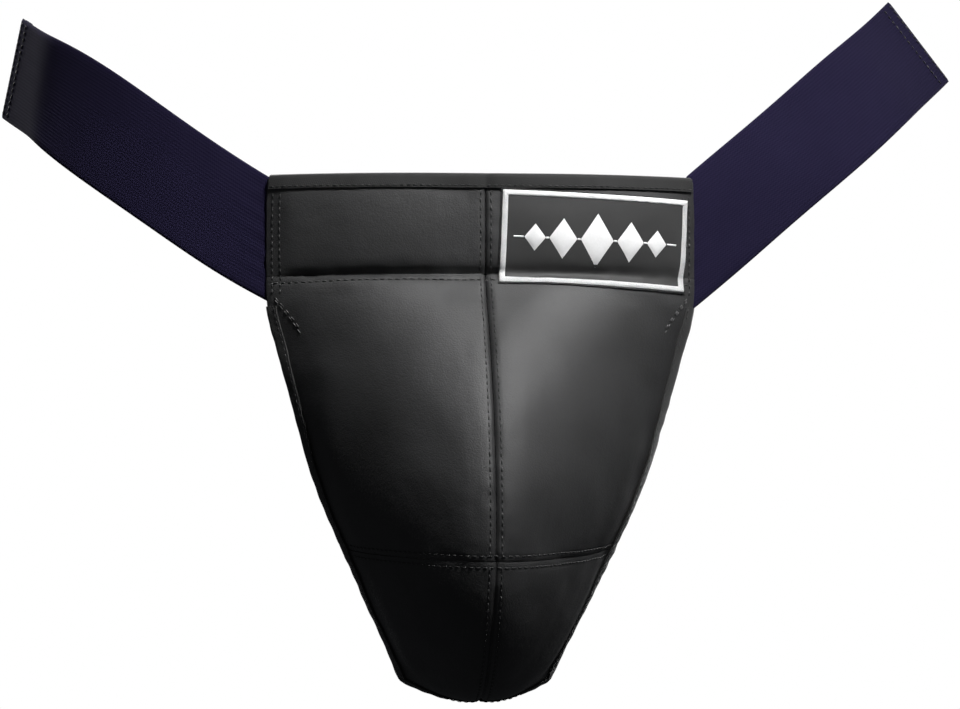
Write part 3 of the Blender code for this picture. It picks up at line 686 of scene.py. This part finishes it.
# ---------------------------------------------------------------- lining
lin_us = np.sin(np.linspace(-1, 1, 91) * math.pi / 2)
lin_ts = np.concatenate([np.linspace(0.02, 3, 30), np.linspace(3, 16.98, 120)[1:]])
gu, gt = np.meshgrid(lin_us, lin_ts)
lp = surface(gu, gt)
ln = normal(gu, gt)
rad = cup_radius(gu, gt)
loft = 0.35 * waves(lp, 34, 21) + 0.14 * waves(lp, 12, 22)
loft = loft * smooth(edge_distance(gu, gt), 0, 14) * np.where((np.abs(gu) < 0.24) & (gt > 0.8) & (gt < 2.1), 0.15, 1.0)
quilt = -0.7 * np.exp(-(((rad - 1.36) * 55 / 2.0) ** 2))
flat = -0.5 * np.exp(-(((gt - 3.0) * 9.2 / 1.8) ** 2))
back = lp - ln * (total_depth(gu, gt) + loft - quilt * -1.0 + flat * 0.0)[..., None]
back = back + ln * (-(quilt) - flat)[..., None] * 0.8
extra_l, extra_r = [], []
tt = lin_ts
for sign, store in ((-1.0, extra_l), (1.0, extra_r)):
    e = surface(np.full_like(tt, sign), tt)
    n = normal(np.full_like(tt, sign), tt)
    out = unit(e - surface(np.full_like(tt, sign * 0.97), tt))
    d = total_depth(np.full_like(tt, sign), tt)
    for a, b in ((0.35, 0.2), (0.55, 0.7), (0.3, 1.2)):
        store.append(e + out * a - n * (d - b)[:, None])
pts = np.concatenate([np.stack(extra_l[::-1], 1), back, np.stack(extra_r, 1)], 1)
uvl = np.stack([np.concatenate([np.repeat(gu[:, :1], 3, 1), gu, np.repeat(gu[:, -1:], 3, 1)], 1) * 0.1, np.concatenate([np.repeat(gt[:, :1], 3, 1), gt, np.repeat(gt[:, -1:], 3, 1)], 1) * 0.0155], -1)
obj = grid("lining_cloth", pts, (0, 1, 0.2), uvl)
thicken(obj, 0.7, -1.0)
dress(obj, M_LINING, "shell", "lining_knit", "lining")


# ---------------------------------------------------------------- bindings
def tape(name, rows_in, rows_edge, rows_back, out, n_edge, depth, nodes, thickness=0.85, rise=None):
    """Tape folded over an edge: rows across it from the front, round the edge, to the back. Arrays are (rows, 3)."""
    d = depth[:, None]
    k = np.ones_like(d) if rise is None else rise[:, None]
    c = rows_edge - n_edge * (d / 2)
    sect = [rows_in, rows_in * 0.45 + (rows_edge + n_edge * 0.25 * k) * 0.55 + n_edge * 0.18 * k]
    for a in (88, 62, 36, 12, -12, -36, -62, -88):
        r = math.radians(a)
        sect.append(c + n_edge * ((d / 2 + 0.45 * k) * math.sin(r)) + out * (0.25 + 1.0 * math.cos(r)) * k)
    back_edge = rows_edge - n_edge * (d + 0.45)
    sect += [rows_back * 0.45 + back_edge * 0.55, rows_back]
    pts = np.stack(sect, 1)
    # smooth the section
    at = np.linspace(0, pts.shape[1] - 1, 30)
    fine = np.stack([cat(row, at) for row in pts], 0)
    along = np.concatenate([[0], np.cumsum(np.linalg.norm(np.diff(rows_edge, axis=0), axis=1))]) * MM
    wid = np.linspace(0, 0.016, 30)
    uv = np.stack(np.meshgrid(wid, along), -1)
    mid = c.mean(0)

    def outward(centres):
        i = np.argmin(((centres[:, None] - c[None, ::4]) ** 2).sum(-1), 1) * 4
        return centres - c[np.minimum(i, len(c) - 1)]

    obj = grid(name, fine, outward, uv)
    thicken(obj, thickness, 1.0, 0.0)
    dress(obj, M_TAPE, "shell", "binding_tape", *nodes)
    return obj


for side, sign in (("left", 1.0), ("right", -1.0)):
    ts = np.linspace(4.7, LAST_T - 0.01, 205)
    sink = (0.5 * smooth(ts, 16.5, 16.68))[:, None]        # its end lies under the lower tape
    u_in = 1 - 4.6 / side_run(ts)
    one = np.full_like(ts, sign)
    ui = sign * u_in
    e = skin(one, ts, 0.0)
    ne, ni = normal(one, ts), normal(ui, ts)
    out = unit(surface(one, ts) - surface(ui, ts))
    rin = skin(ui, ts, 0.2) - ni * sink
    rback = surface(ui, ts) - ni * ((total_depth(ui, ts) + 0.25)[:, None] - sink)
    dep = total_depth(one, ts) + height(one, ts) + 0.2
    risen = smooth(ts, 4.7, 5.7) * (1 - 0.6 * smooth(ts, 16.2, 17.0))
    obj = tape(f"side_tape_{side}", rin, e, rback, out, ne, dep, [f"side_binding_{side}"], rise=risen)
    stitch_row("shell", rin + out * 1.1 + ni * 0.86, ni, length=2.2, gap=0.9, width=0.5, height_mm=0.16)
    stitch_row("shell", rback + out * 1.1 - ni * 0.86, -ni, length=2.2, gap=0.9, width=0.5, height_mm=0.16)

ks = np.linspace(-0.992, 0.992, 150)
tin = 5.2 / 14.0
one = np.zeros_like(ks)
e = skin(ks, one)
ne, ni = normal(ks, one), normal(ks, one + tin)
out = unit(surface(ks, one) - surface(ks, one + tin))
rin = skin(ks, one + tin, 0.2)
rback = surface(ks, one + tin) - ni * (total_depth(ks, one + tin) + 0.25)[:, None]
dep = total_depth(ks, one) + height(ks, one) + 0.2
obj = tape("top_tape", rin, e, rback, out, ne, dep, ["top_binding"])
stitch_row("shell", rin + out * 1.1 + ni * 0.86, ni, length=2.2, gap=0.9, width=0.5, height_mm=0.16)
stitch_row("shell", rback + out * 1.1 - ni * 0.86, -ni, length=2.2, gap=0.9, width=0.5, height_mm=0.16)

ks = np.linspace(-0.998, 0.998, 90)
last = np.full_like(ks, LAST_T)
t_in = LAST_T - 5.0 / 15.6
e = skin(ks, last)
ne, ni = normal(ks, last), normal(ks, last * 0 + t_in)
out = unit(surface(ks, last) - surface(ks, last * 0 + t_in))
rin = skin(ks, last * 0 + t_in, 0.2)
rback = surface(ks, last * 0 + t_in) - ni * (total_depth(ks, last * 0 + t_in) + 0.25)[:, None]
dep = total_depth(ks, last) + height(ks, last) + 0.2
obj = tape("lip_tape", rin, e, rback, out, ne, dep, ["bottom_binding"], rise=1 - 0.5 * smooth(np.abs(ks), 0.93, 1.0))
stitch_row("shell", rin + out * 1.1 + ni * 0.86, ni, length=2.2, gap=0.9, width=0.5, height_mm=0.16)

# ---------------------------------------------------------------- topstitching on the leather
for sign in (-1.0, 1.0):
    for t0, t1 in ((0.42, 2.9), (3.12, 10.9), (11.1, 16.5)):
        tl = np.linspace(t0, t1, 160)
        w = cat(RIM, tl)[..., 0]
        ul = sign * SEAM_STITCH / w
        stitch_row("shell", skin(ul, tl, 0.05), normal(ul, tl))
kl = np.linspace(-0.975, 0.975, 260)
for t in (SEAM_T + 3.6 / 9.2,):
    tl = np.full_like(kl, t)
    stitch_row("shell", skin(kl, tl, 0.05), normal(kl, tl))
for t in (CROTCH_T - 2.6 / 18.5, CROTCH_T + 2.6 / 18.5):
    kk = kl * 0.97
    tl = np.full_like(kl, t)
    stitch_row("shell", skin(kk, tl, 0.05), normal(kk, tl))
# two rows down each side of the waist section, through the elastic, and a bar tack below
for sign in (-1.0, 1.0):
    tl = np.concatenate([np.linspace(0.5, 2.85, 60), np.linspace(3.15, 4.1, 30)])
    for back_mm in (2.6, 6.4):
        ul = sign * (1 - back_mm / 104.0) * np.ones_like(tl)
        stitch_row("shell", skin(ul, tl, 0.05), normal(ul, tl), length=2.3, gap=0.7)
    # a short reinforcing row slanting in from the wing's lower corner
    for shift in (0.0, 0.16):
        a = np.linspace(0, 1, 30)
        tl3 = 4.15 + shift + 1.35 * a
        ul3 = sign * (1 - (3.4 + 11.0 * a) / side_run(tl3))
        stitch_row("tack", skin(ul3, tl3, 0.06), normal(ul3, tl3), length=2.6, gap=0.8, width=0.6)
    # lining side
    tl = np.linspace(0.5, 4.6, 80)
    ul = sign * (1 - 4.0 / 104.0) * np.ones_like(tl)
    nl = normal(ul, tl)
    stitch_row("shell", surface(ul, tl) - nl * (total_depth(ul, tl) + 0.15)[:, None], -nl)
# the stitched outline of the cup's pocket, on the lining
ang = np.linspace(0, 2 * math.pi, 400)
mm_ = (np.abs(np.cos(ang)) ** 2.4 + np.abs(np.sin(ang)) ** 2.4) ** (1 / 2.4)
ul, tl = CUP_HALF_U * 1.36 * np.cos(ang) / mm_, CUP_MID_T + CUP_HALF_T * 1.36 * np.sin(ang) / mm_
nl = normal(ul, tl)
lf = (0.35 * waves(surface(ul, tl), 34, 21) + 0.14 * waves(surface(ul, tl), 12, 22)) * smooth(edge_distance(ul, tl), 0, 14)
stitch_row("shell", surface(ul, tl) - nl * (total_depth(ul, tl) + lf - 0.45)[:, None], -nl)


# ---------------------------------------------------------------- label
def on_label(a, b):
    c, s = math.cos(math.radians(LABEL_TILT)), math.sin(math.radians(LABEL_TILT))
    a, b = np.broadcast_arrays(np.asarray(a, float), np.asarray(b, float))
    x, z = LABEL_X + a * c + b * s, LABEL_Z - a * s + b * c
    lo, hi = np.zeros(x.shape), np.full(x.shape, 6.0)
    for _ in range(30):
        t = (lo + hi) / 2
        u = np.clip(x / cat(RIM, t)[..., 0], -1, 1)
        above = surface(u, t)[..., 2] > z
        lo, hi = np.where(above, t, lo), np.where(above, hi, t)
    return u, t


def label_lift(a, b):
    """How far the label stands off the shell's nominal face: it bridges the seam under it."""
    u, t = on_label(a, b)
    over = height(u, t, 0.0)
    c, f, k = seam_distances(u, t)
    return over - 0.75 * np.exp(-((f / 5.0) ** 2)) + 0.42


def label_pts(a, b, lift):
    u, t = on_label(a, b)
    return surface(u, t) + normal(u, t) * (label_lift(a, b) + lift)[..., None]


la, lb = np.meshgrid(np.linspace(-LABEL_W / 2, LABEL_W / 2, 70), np.linspace(LABEL_H / 2, -LABEL_H / 2, 40))
obj = grid("label_cloth", label_pts(la, lb, 0.45), (0, -1, 0), np.stack([la, lb], -1) * MM)
thicken(obj, 0.7, -1.0)
dress(obj, M_LABEL, "shell", "label_ground", "label_patch")


def loop_pts(w, h, n=64, m=34, r=0.12):
    top = [(x, h) for x in np.linspace(w - r, -w + r, n)]
    left = [(-w, y) for y in np.linspace(h - r, -h + r, m)]
    bot = [(x, -h) for x in np.linspace(-w + r, w - r, n)]
    right = [(w, y) for y in np.linspace(-h + r, h - r, m)]
    return np.array(top + left + bot + right)


rings, uvs = [], []
for off, z in ((0.65, 0.40), (0.8, 0.72), (1.3, 0.95), (1.95, 1.02), (2.6, 0.95), (3.1, 0.72), (3.25, 0.40)):
    p = loop_pts(LABEL_W / 2 - off, LABEL_H / 2 - off)
    rings.append(label_pts(p[:, 0], p[:, 1], z))
    per = np.concatenate([[0], np.cumsum(np.linalg.norm(np.diff(p, axis=0), axis=1))])
    uvs.append(np.stack([per * MM, np.full(len(p), off * MM)], -1))
obj = grid("label_frame", np.stack(rings, 0), (0, -1, 0), np.stack(uvs, 0), closed=True)
thicken(obj, 0.25, -1.0)
dress(obj, M_WHITE, "shell", "label_thread", "label_border")

verts, faces, uv = [], [], []


def pillow(cx, cy, hw, hh, rise=0.55, n=9):
    """A rhombus of laid thread, raised in its middle."""
    start = len(verts)
    s = np.linspace(-1, 1, n)
    for j in s:
        for i in s:
            a, b = cx + (i + j) / 2 * hw, cy + (j - i) / 2 * hh
            edge = (1 - abs(i) ** 4) * (1 - abs(j) ** 4)
            verts.append(label_pts(a, b, 0.46 + rise * edge))
            uv.append((a * MM, b * MM))
    for j in range(n - 1):
        for i in range(n - 1):
            q = start + j * n + i
            faces.append((q, q + 1, q + n + 1, q + n))


def thread_line(x0, x1, y, half=0.45, n=24):
    start = len(verts)
    for x in np.linspace(x0, x1, n):
        for q, z in ((-1, 0.46), (-0.5, 0.75), (0.5, 0.75), (1, 0.46)):
            verts.append(label_pts(x, y + q * half, z))
            uv.append((x * MM, q * half * MM))
    for j in range(n - 1):
        for i in range(3):
            q = start + j * 4 + i
            faces.append((q, q + 1, q + 5, q + 4))


for cx, hw, hh in ((0, 7.6, 12.2), (-15.6, 6.4, 9.2), (15.6, 6.4, 9.2), (-28.4, 4.9, 6.2), (28.4, 4.9, 6.2)):
    pillow(cx, 0, hw, hh)
thread_line(-38.2, -33.6, 0)
thread_line(33.6, 38.2, 0)
for a, b in ((-23.4, -22.1), (-9.1, -7.7), (7.7, 9.1), (22.1, 23.4)):
    thread_line(a, b, 0, n=6)
v = np.array(verts)
fa = np.array(faces)
obj = new_object("label_rhombi", v, faces, uv)
bm = bmesh.new()
bm.from_mesh(obj.data)
bm.normal_update()
flip = [f for f in bm.faces if f.normal.y > 0]
bmesh.ops.reverse_faces(bm, faces=flip)
bm.to_mesh(obj.data)
bm.free()
thicken(obj, 0.2, -1.0)
dress(obj, M_WHITE, "shell", "label_thread", "label_emblem")
# stitching round the label
p = loop_pts(LABEL_W / 2 - 0.35, LABEL_H / 2 - 0.35)
p = np.concatenate([p, p[:1]])
uu, tt3 = on_label(p[:, 0], p[:, 1])
stitch_row("shell", label_pts(p[:, 0], p[:, 1], 0.45), normal(uu, tt3), length=1.6, gap=0.7, width=0.32, height_mm=0.22)


# ---------------------------------------------------------------- waistband wings
def quad_blend(triple, f):
    a, m, b = triple
    return a * (1 - f) * (1 - 2 * f) + 4 * m * f * (1 - f) + b * f * (2 * f - 1)


def wing_table(pose, n=420):
    """Centreline, width direction and outward normal of the left wing's elastic, at n places along it."""
    s = np.linspace(-26, WING_LENGTH + 8, n)
    f = np.clip(s / (WING_LENGTH - WING_STRAIGHT), 0, 1)
    th, ph, ro = (np.radians(quad_blend(pose[k], f)) for k in ("heading", "climb", "roll"))
    wide = int(22 / (s[1] - s[0]))                # the curve eases into its straight end
    bell = np.hanning(2 * wide + 3)[1:-1]
    th, ph, ro = (np.convolve(np.pad(a, wide, mode="edge"), bell / bell.sum(), mode="valid") for a in (th, ph, ro))
    d = np.stack([np.cos(th) * np.cos(ph), np.sin(th) * np.cos(ph), np.sin(ph)], -1)
    n0 = np.stack([np.sin(th), -np.cos(th), 0 * th], -1)
    w0 = -np.cross(n0, d)
    w0 = np.where(w0[:, 2:3] > 0, w0, -w0)
    w = w0 * np.cos(ro)[:, None] - n0 * np.sin(ro)[:, None]
    nn = n0 * np.cos(ro)[:, None] + w0 * np.sin(ro)[:, None]
    ds = s[1] - s[0]
    c = np.concatenate([[np.zeros(3)], np.cumsum((d[1:] + d[:-1]) / 2 * ds, axis=0)])
    zero = np.stack([np.interp(0, s, c[:, k]) for k in range(3)])
    return s, c - zero + WING_BASE, w, nn, d


def wing_at(table, s, q, lift=0.0):
    st, c, w, nn, d = table
    g = lambda a: np.stack([np.interp(s, st, a[:, k]) for k in range(3)], -1)
    n = unit(g(nn))
    return g(c) + unit(g(w)) * np.asarray(q)[..., None] + n * np.asarray(lift)[..., None], n


def mir(side, p):
    return p if side == "left" else p * np.array([-1.0, 1.0, 1.0])


SECTION = [(1.0, 0.0), (0.985, 0.62), (0.95, 0.93), (0.86, 1.0)] + [(x, 1.0) for x in np.linspace(0.76, -0.76, 23)] + [(-0.86, 1.0), (-0.95, 0.93), (-0.985, 0.62), (-1.0, 0.0)]
for side in ("left", "right"):
    table = wing_table(WING_POSE[side])
    lean = math.tan(math.radians(WING_POSE[side]["climb"][0]))
    rows = 190
    fr = np.linspace(0, 1, rows)
    pts, uv = [], []
    full_section = SECTION + [(x, -y) for x, y in SECTION[::-1]][1:-1]
    for q1, y1 in full_section:
        q = q1 * ELASTIC_W / 2
        lo = q * lean - 2.2
        end = WING_LENGTH + 0.4 * q / 25.0
        s = lo + (end - lo) * fr
        # the sewn end is gathered a little, and the selvedge waves
        gather = 0.35 * np.exp(-np.maximum(s - lo, 0) / 9.0) * np.sin(q * 2 * math.pi / 7.5 + 0.8) * np.clip((s - lo) / 3.0, 0, 1)
        wavy = 0.30 * np.sin(s / 17.0 + (0.6 if q > 0 else 2.2)) * (abs(q1) ** 3)
        belly = 0.55 * np.sin(s / 41.0 + 0.7) * (1 - q1 * q1) * smooth(s, 5, 40) * smooth(-s, -150, -120)
        # the end face closes in
        thin = np.clip((end - s) / 0.9, 0, 1) ** 0.5
        p, n = wing_at(table, s, q + wavy * np.sign(q1), y1 * ELASTIC_T / 2 * thin + gather + belly)
        pts.append(mir(side, p))
        uv.append(np.stack([s * MM, np.full_like(s, (q + (60 if y1 < 0 else 0)) * MM)], -1))
    pts, uv = np.stack(pts, 1), np.stack(uv, 1)
    axis = np.stack([np.interp(fr * WING_LENGTH, table[0], table[1][:, k]) for k in range(3)], -1)
    axis = mir(side, axis)

    def outward(c, axis=axis):
        i = np.argmin(((c[:, None] - axis[None, ::3]) ** 2).sum(-1), 1) * 3
        return c - axis[np.minimum(i, len(axis) - 1)]

    obj = grid(f"wing_cloth_{side}", pts, outward, uv, closed=True)
    bm = bmesh.new()
    bm.from_mesh(obj.data)
    bmesh.ops.holes_fill(bm, edges=[e for e in bm.edges if e.is_boundary], sides=0)
    bmesh.ops.recalc_face_normals(bm, faces=bm.faces)
    bm.to_mesh(obj.data)
    bm.free()
    obj.data.shade_smooth()
    obj.data.set_sharp_from_angle(angle=math.radians(70))
    dress(obj, M_ELASTIC, None, "band_elastic", f"wing_elastic_{side}")
    a = mir(side, WING_BASE - np.array([1.0, 0.4, 0.0])) * MM
    b = mir(side, WING_BASE + np.array([17.0, 4.5, 0.0])) * MM
    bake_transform(obj)
    # a stitched hem across the free end, and the hook tab's stitching
    for s_at in (WING_LENGTH - 3.2, WING_LENGTH - 11.5):
        q = np.linspace(-23.6, 23.6, 40)
        for face in (1, -1):
            if face < 0 and side == "left":
                continue
            lift = np.full_like(q, face * (ELASTIC_T / 2 + (0.05 if face > 0 else 1.95)))
            p, n = wing_at(table, np.full_like(q, s_at), q, lift)
            stitch_row(f"wing_{side}", mir(side, p), mir(side, n * face), length=2.3, gap=0.8)
    if side == "left":
        lo_s, hi_s = WING_LENGTH - 6.0 - HOOK_L, WING_LENGTH - 6.0
        hs, hq = np.meshgrid(np.linspace(lo_s, hi_s, 30), np.linspace(-HOOK_W / 2, HOOK_W / 2, 30))
        es = np.minimum(np.minimum(hs - lo_s, hi_s - hs), HOOK_W / 2 - np.abs(hq))
        lift = -(ELASTIC_T / 2 + 0.05 + 1.5 * np.clip(es / 1.2, 0.15, 1) ** 0.5)
        p, n = wing_at(table, hs, hq, lift)
        obj = grid("hook_pad", mir(side, p), (-0.6, 0.65, -0.47), np.stack([hs, hq], -1) * MM)
        thicken(obj, 1.0, -1.0)
        dress(obj, M_HOOK, "wing_left", "hook_tape", "hook_tab")
        # tiny hooks in rows
        rng = np.random.default_rng(4)
        hv, hf = [], []
        for s_at in np.arange(lo_s + 3.2, hi_s - 2.8, 1.3):
            for q_at in np.arange(-HOOK_W / 2 + 3.0, HOOK_W / 2 - 2.9, 1.15):
                base, n = wing_at(table, np.array(s_at), np.array(q_at), np.array(-(ELASTIC_T / 2 + 1.5)))
                st = np.interp(s_at, table[0], np.arange(len(table[0])))
                dd = table[4][int(st)]
                ww = unit(np.cross(n, dd))
                k0 = len(hv)
                lean_h = rng.uniform(-0.15, 0.15)
                for z, off, half in ((0.0, 0.0, 0.16), (0.55, 0.12 + lean_h, 0.13), (0.75, 0.42 + lean_h, 0.11)):
                    cc = base - n * z + dd * off
                    for x, y in ((-1, -1), (1, -1), (1, 1), (-1, 1)):
                        hv.append(cc + ww * x * half + dd * y * half)
                for r in (0, 4):
                    for i in range(4):
                        j = (i + 1) % 4
                        hf.append((k0 + r + i, k0 + r + j, k0 + r + 4 + j, k0 + r + 4 + i))
                hf.append((k0 + 8, k0 + 9, k0 + 10, k0 + 11))
                hf.append((k0 + 3, k0 + 2, k0 + 1, k0))
        obj = new_object("hook_pile", np.array(hv), hf)
        bm = bmesh.new()
        bm.from_mesh(obj.data)
        bmesh.ops.recalc_face_normals(bm, faces=bm.faces)
        bm.to_mesh(obj.data)
        bm.free()
        dress(obj, M_HOOK, "wing_left", "hook_tape")
        for off in (1.4,):
            c1 = [(lo_s + off, -HOOK_W / 2 + off), (hi_s - off, -HOOK_W / 2 + off), (hi_s - off, HOOK_W / 2 - off), (lo_s + off, HOOK_W / 2 - off), (lo_s + off, -HOOK_W / 2 + off)]
            line = []
            for (s0, q0), (s1, q1) in zip(c1, c1[1:]):
                for a_ in np.linspace(0, 1, 16)[:-1]:
                    line.append((s0 + (s1 - s0) * a_, q0 + (q1 - q0) * a_))
            line = np.array(line + [c1[-1]])
            p, n = wing_at(table, line[:, 0], line[:, 1], np.full(len(line), -(ELASTIC_T / 2 + 1.55)))
            stitch_row("wing_left", mir(side, p), mir(side, -n), length=2.2, gap=0.8)
    else:
        hs, hq = np.meshgrid(np.linspace(WING_LENGTH - 13.0, WING_LENGTH - 0.4, 16), np.linspace(-24.6, 24.6, 30))
        es = np.minimum(np.minimum(hs - (WING_LENGTH - 13.0), (WING_LENGTH - 0.4) - hs), 24.6 - np.abs(hq))
        lift = -(ELASTIC_T / 2 + 0.1 + 1.6 * np.clip(es / 1.3, 0.1, 1) ** 0.5)
        p, n = wing_at(table, hs, hq, lift)
        obj = grid("end_hem_cloth", mir(side, p), mir(side, np.array([-0.9, 0.3, 0.2])), np.stack([hs, hq], -1) * MM)
        thicken(obj, 1.2, -1.0)
        dress(obj, M_ELASTIC, "wing_right", "band_elastic", "end_hem_right")


# ---------------------------------------------------------------- leg straps
def leg_at(g):
    return cat(LEG_PATH, np.asarray(g) * (len(LEG_PATH) - 1))


gg = np.linspace(0, 1, 400)
leg_len = float(np.linalg.norm(np.diff(leg_at(gg), axis=0), axis=1).sum())
at_lip, half_way, at_top = unit((0.97, 0.0, 0.22)), unit((1.0, 0.12, 0.0)), unit((0.955, 0.295, 0.0))


def leg_frame(g):
    d = unit(leg_at(np.minimum(g + 0.01, 1)) - leg_at(np.maximum(g - 0.01, 0)))
    want = at_lip + (half_way - at_lip) * smooth(g, 0.0, 0.4)[..., None] + (at_top - half_way) * smooth(g, 0.6, 0.95)[..., None]
    w = unit(want - d * (want * d).sum(-1, keepdims=True))
    return d, w, np.cross(d, w)


for side in ("left", "right"):
    fr = np.linspace(-0.008, 1, 170)
    pts, uv = [], []
    sec = [(1.0, 0.0), (0.97, 0.7), (0.9, 1.0)] + [(x, 1.0) for x in np.linspace(0.75, -0.75, 11)] + [(-0.9, 1.0), (-0.97, 0.7), (-1.0, 0.0)]
    sec = sec + [(x, -y) for x, y in sec[::-1]][1:-1]
    for q1, y1 in sec:
        q = q1 * LEG_W / 2
        g = fr + (1 - fr) * LEG_LEAN * (q + LEG_W / 2) / leg_len
        g = np.clip(g, 0, 1)
        d, w, face = leg_frame(g)
        under = np.minimum(fr, 0)[:, None] * leg_len
        wave_ = 0.35 * np.sin(g * leg_len / 13.0 + (0.5 if q > 0 else 1.9)) * abs(q1) ** 3 * np.sign(q1) * smooth(g, 0.05, 0.2)
        p = leg_at(g) + d * under + w * (q + wave_)[:, None] + face * (y1 * LEG_T / 2)
        pts.append(mir(side, p))
        uv.append(np.stack([g * leg_len * MM, np.full_like(g, (q + (30 if y1 < 0 else 0)) * MM)], -1))
    pts, uv = np.stack(pts, 1), np.stack(uv, 1)
    axis = mir(side, leg_at(np.clip(fr, 0, 1)))
    obj = grid(f"leg_cloth_{side}", pts, lambda c, axis=axis: c - axis[np.argmin(((c[:, None] - axis[None]) ** 2).sum(-1), 1)], uv, closed=True)
    bm = bmesh.new()
    bm.from_mesh(obj.data)
    bmesh.ops.holes_fill(bm, edges=[e for e in bm.edges if e.is_boundary], sides=0)
    bmesh.ops.recalc_face_normals(bm, faces=bm.faces)
    bm.to_mesh(obj.data)
    bm.free()
    obj.data.shade_smooth()
    obj.data.set_sharp_from_angle(angle=math.radians(70))
    dress(obj, M_ELASTIC, "shell", "band_elastic", f"leg_strap_{side}")
    # box stitching where it is sewn on, at the top end
    g0, g1 = 1 - 13.0 / leg_len, 1 - 1.5 / leg_len
    corners = [(g0, -10.8), (g1, -10.8), (g1, 10.8), (g0, 10.8), (g0, -10.8), (g1, 10.8), (g1, -10.8), (g0, 10.8)]
    for (ga, qa), (gb, qb) in zip(corners, corners[1:]):
        a_ = np.linspace(0, 1, 14)
        g, q = ga + (gb - ga) * a_, qa + (qb - qa) * a_
        d, w, face = leg_frame(g)
        p = leg_at(g) + w * q[:, None] + face * (LEG_T / 2 + 0.05)
        stitch_row("shell", mir(side, p), mir(side, face), length=2.2, gap=0.7, width=0.5)
    q = np.linspace(-11, 11, 20)
    for mm_in in (3.0, 6.0):
        g = (LEG_LEAN * (q + LEG_W / 2) + mm_in) / leg_len
        d, w, face = leg_frame(g)
        for sg in (1, -1):
            p = leg_at(g) + w * q[:, None] + face * sg * (LEG_T / 2 + 0.05)
            stitch_row("shell", mir(side, p), mir(side, face * sg), length=2.0, gap=0.7, width=0.5)

stitches_done("shell", "shell_stitching", M_THREAD, "shell", "binding_tape")
stitches_done("tack", "shell_bar_tacks", M_TACK, "shell", "binding_tape")
stitches_done("wing_left", "wing_stitching_left", M_THREAD, "wing_left", "binding_tape")
stitches_done("wing_right", "wing_stitching_right", M_THREAD, "wing_right", "binding_tape")

# ---------------------------------------------------------------- hard pieces keep their CAD shape
for node, mat in (("cup_shell", M_CUP), ("cup_gasket", M_GASKET)):
    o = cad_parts[node]
    o.data.materials.clear()
    o.data.materials.append(mat)


# ---------------------------------------------------------------- stage, camera and light
def emission(name, colour, strength):
    m = bpy.data.materials.new(name)
    m.use_nodes = True
    t = m.node_tree
    t.nodes.clear()
    e = t.nodes.new("ShaderNodeEmission")
    e.inputs["Color"].default_value = (*colour, 1)
    e.inputs["Strength"].default_value = strength
    o = t.nodes.new("ShaderNodeOutputMaterial")
    t.links.new(e.outputs[0], o.inputs["Surface"])
    return m


bpy.ops.mesh.primitive_plane_add(size=12, location=(0, 0, -0.262))
floor = bpy.context.object
floor.name = "floor"
floor.data.materials.append(emission("floor_pale", (1.0, 1.0, 1.0), 1.0))
bpy.ops.mesh.primitive_uv_sphere_add(segments=48, ring_count=24, radius=5.5, location=(0, 0, 0))
dome = bpy.context.object
dome.name = "backdrop"
dome.data.materials.append(emission("backdrop_white", (1, 1, 1), 1.0))
for o in (floor, dome):
    o.visible_diffuse = False
    o.visible_glossy = False
    o.visible_shadow = False
    o.visible_transmission = False
    o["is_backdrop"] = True


def area(name, at, size, energy, colour=(1, 1, 1), target=(0, -0.02, -0.1), spread=180.0):
    li = bpy.data.lights.new(name, "AREA")
    li.shape = "DISK"
    li.size = size
    li.energy = energy
    li.color = colour
    li.spread = math.radians(spread)
    o = bpy.data.objects.new(name, li)
    o.location = at
    o.rotation_euler = (Vector(target) - Vector(at)).to_track_quat("-Z", "Y").to_euler()
    bpy.context.scene.collection.objects.link(o)


area("key", (0.45, -0.86, 1.18), 0.55, 2.15, target=(0.08, -0.02, 0.045), spread=31.0)
area("fill", (-0.9, -1.3, 0.5), 1.2, 0.8)
area("back_light", (-0.5, 1.5, 0.55), 1.0, 34.0)
area("back_right", (0.9, 1.3, 0.35), 0.8, 14.0)
area("rim_right", (1.4, 0.3, 0.3), 0.8, 1.2)
world = bpy.context.scene.world or bpy.data.worlds.new("World")
bpy.context.scene.world = world
world.use_nodes = True
bg = world.node_tree.nodes.get("Background") or world.node_tree.nodes.new("ShaderNodeBackground")
bg.inputs["Color"].default_value = (0.9, 0.93, 1.0, 1)
bg.inputs["Strength"].default_value = 0.045
bpy.context.scene.view_settings.view_transform = "Standard"

az = math.radians(-5.6)
back_dir = Vector((math.sin(az), -math.cos(az), 0))
right_dir = Vector((math.cos(az), math.sin(az), 0))
centre = Vector((0, 0, -0.095))
cam_data = bpy.data.cameras.new("camera")
cam_data.lens = 122.3
cam_data.sensor_width = 36.0
cam_data.clip_start, cam_data.clip_end = 0.05, 30
cam = bpy.data.objects.new("camera", cam_data)
cam.location = centre + back_dir * 1.5
aim = centre - right_dir * 0.00175 + Vector((0, 0, 0.0370))
cam.rotation_euler = (aim - cam.location).to_track_quat("-Z", "Y").to_euler()
bpy.context.scene.collection.objects.link(cam)
bpy.context.scene.camera = cam

lo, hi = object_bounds()
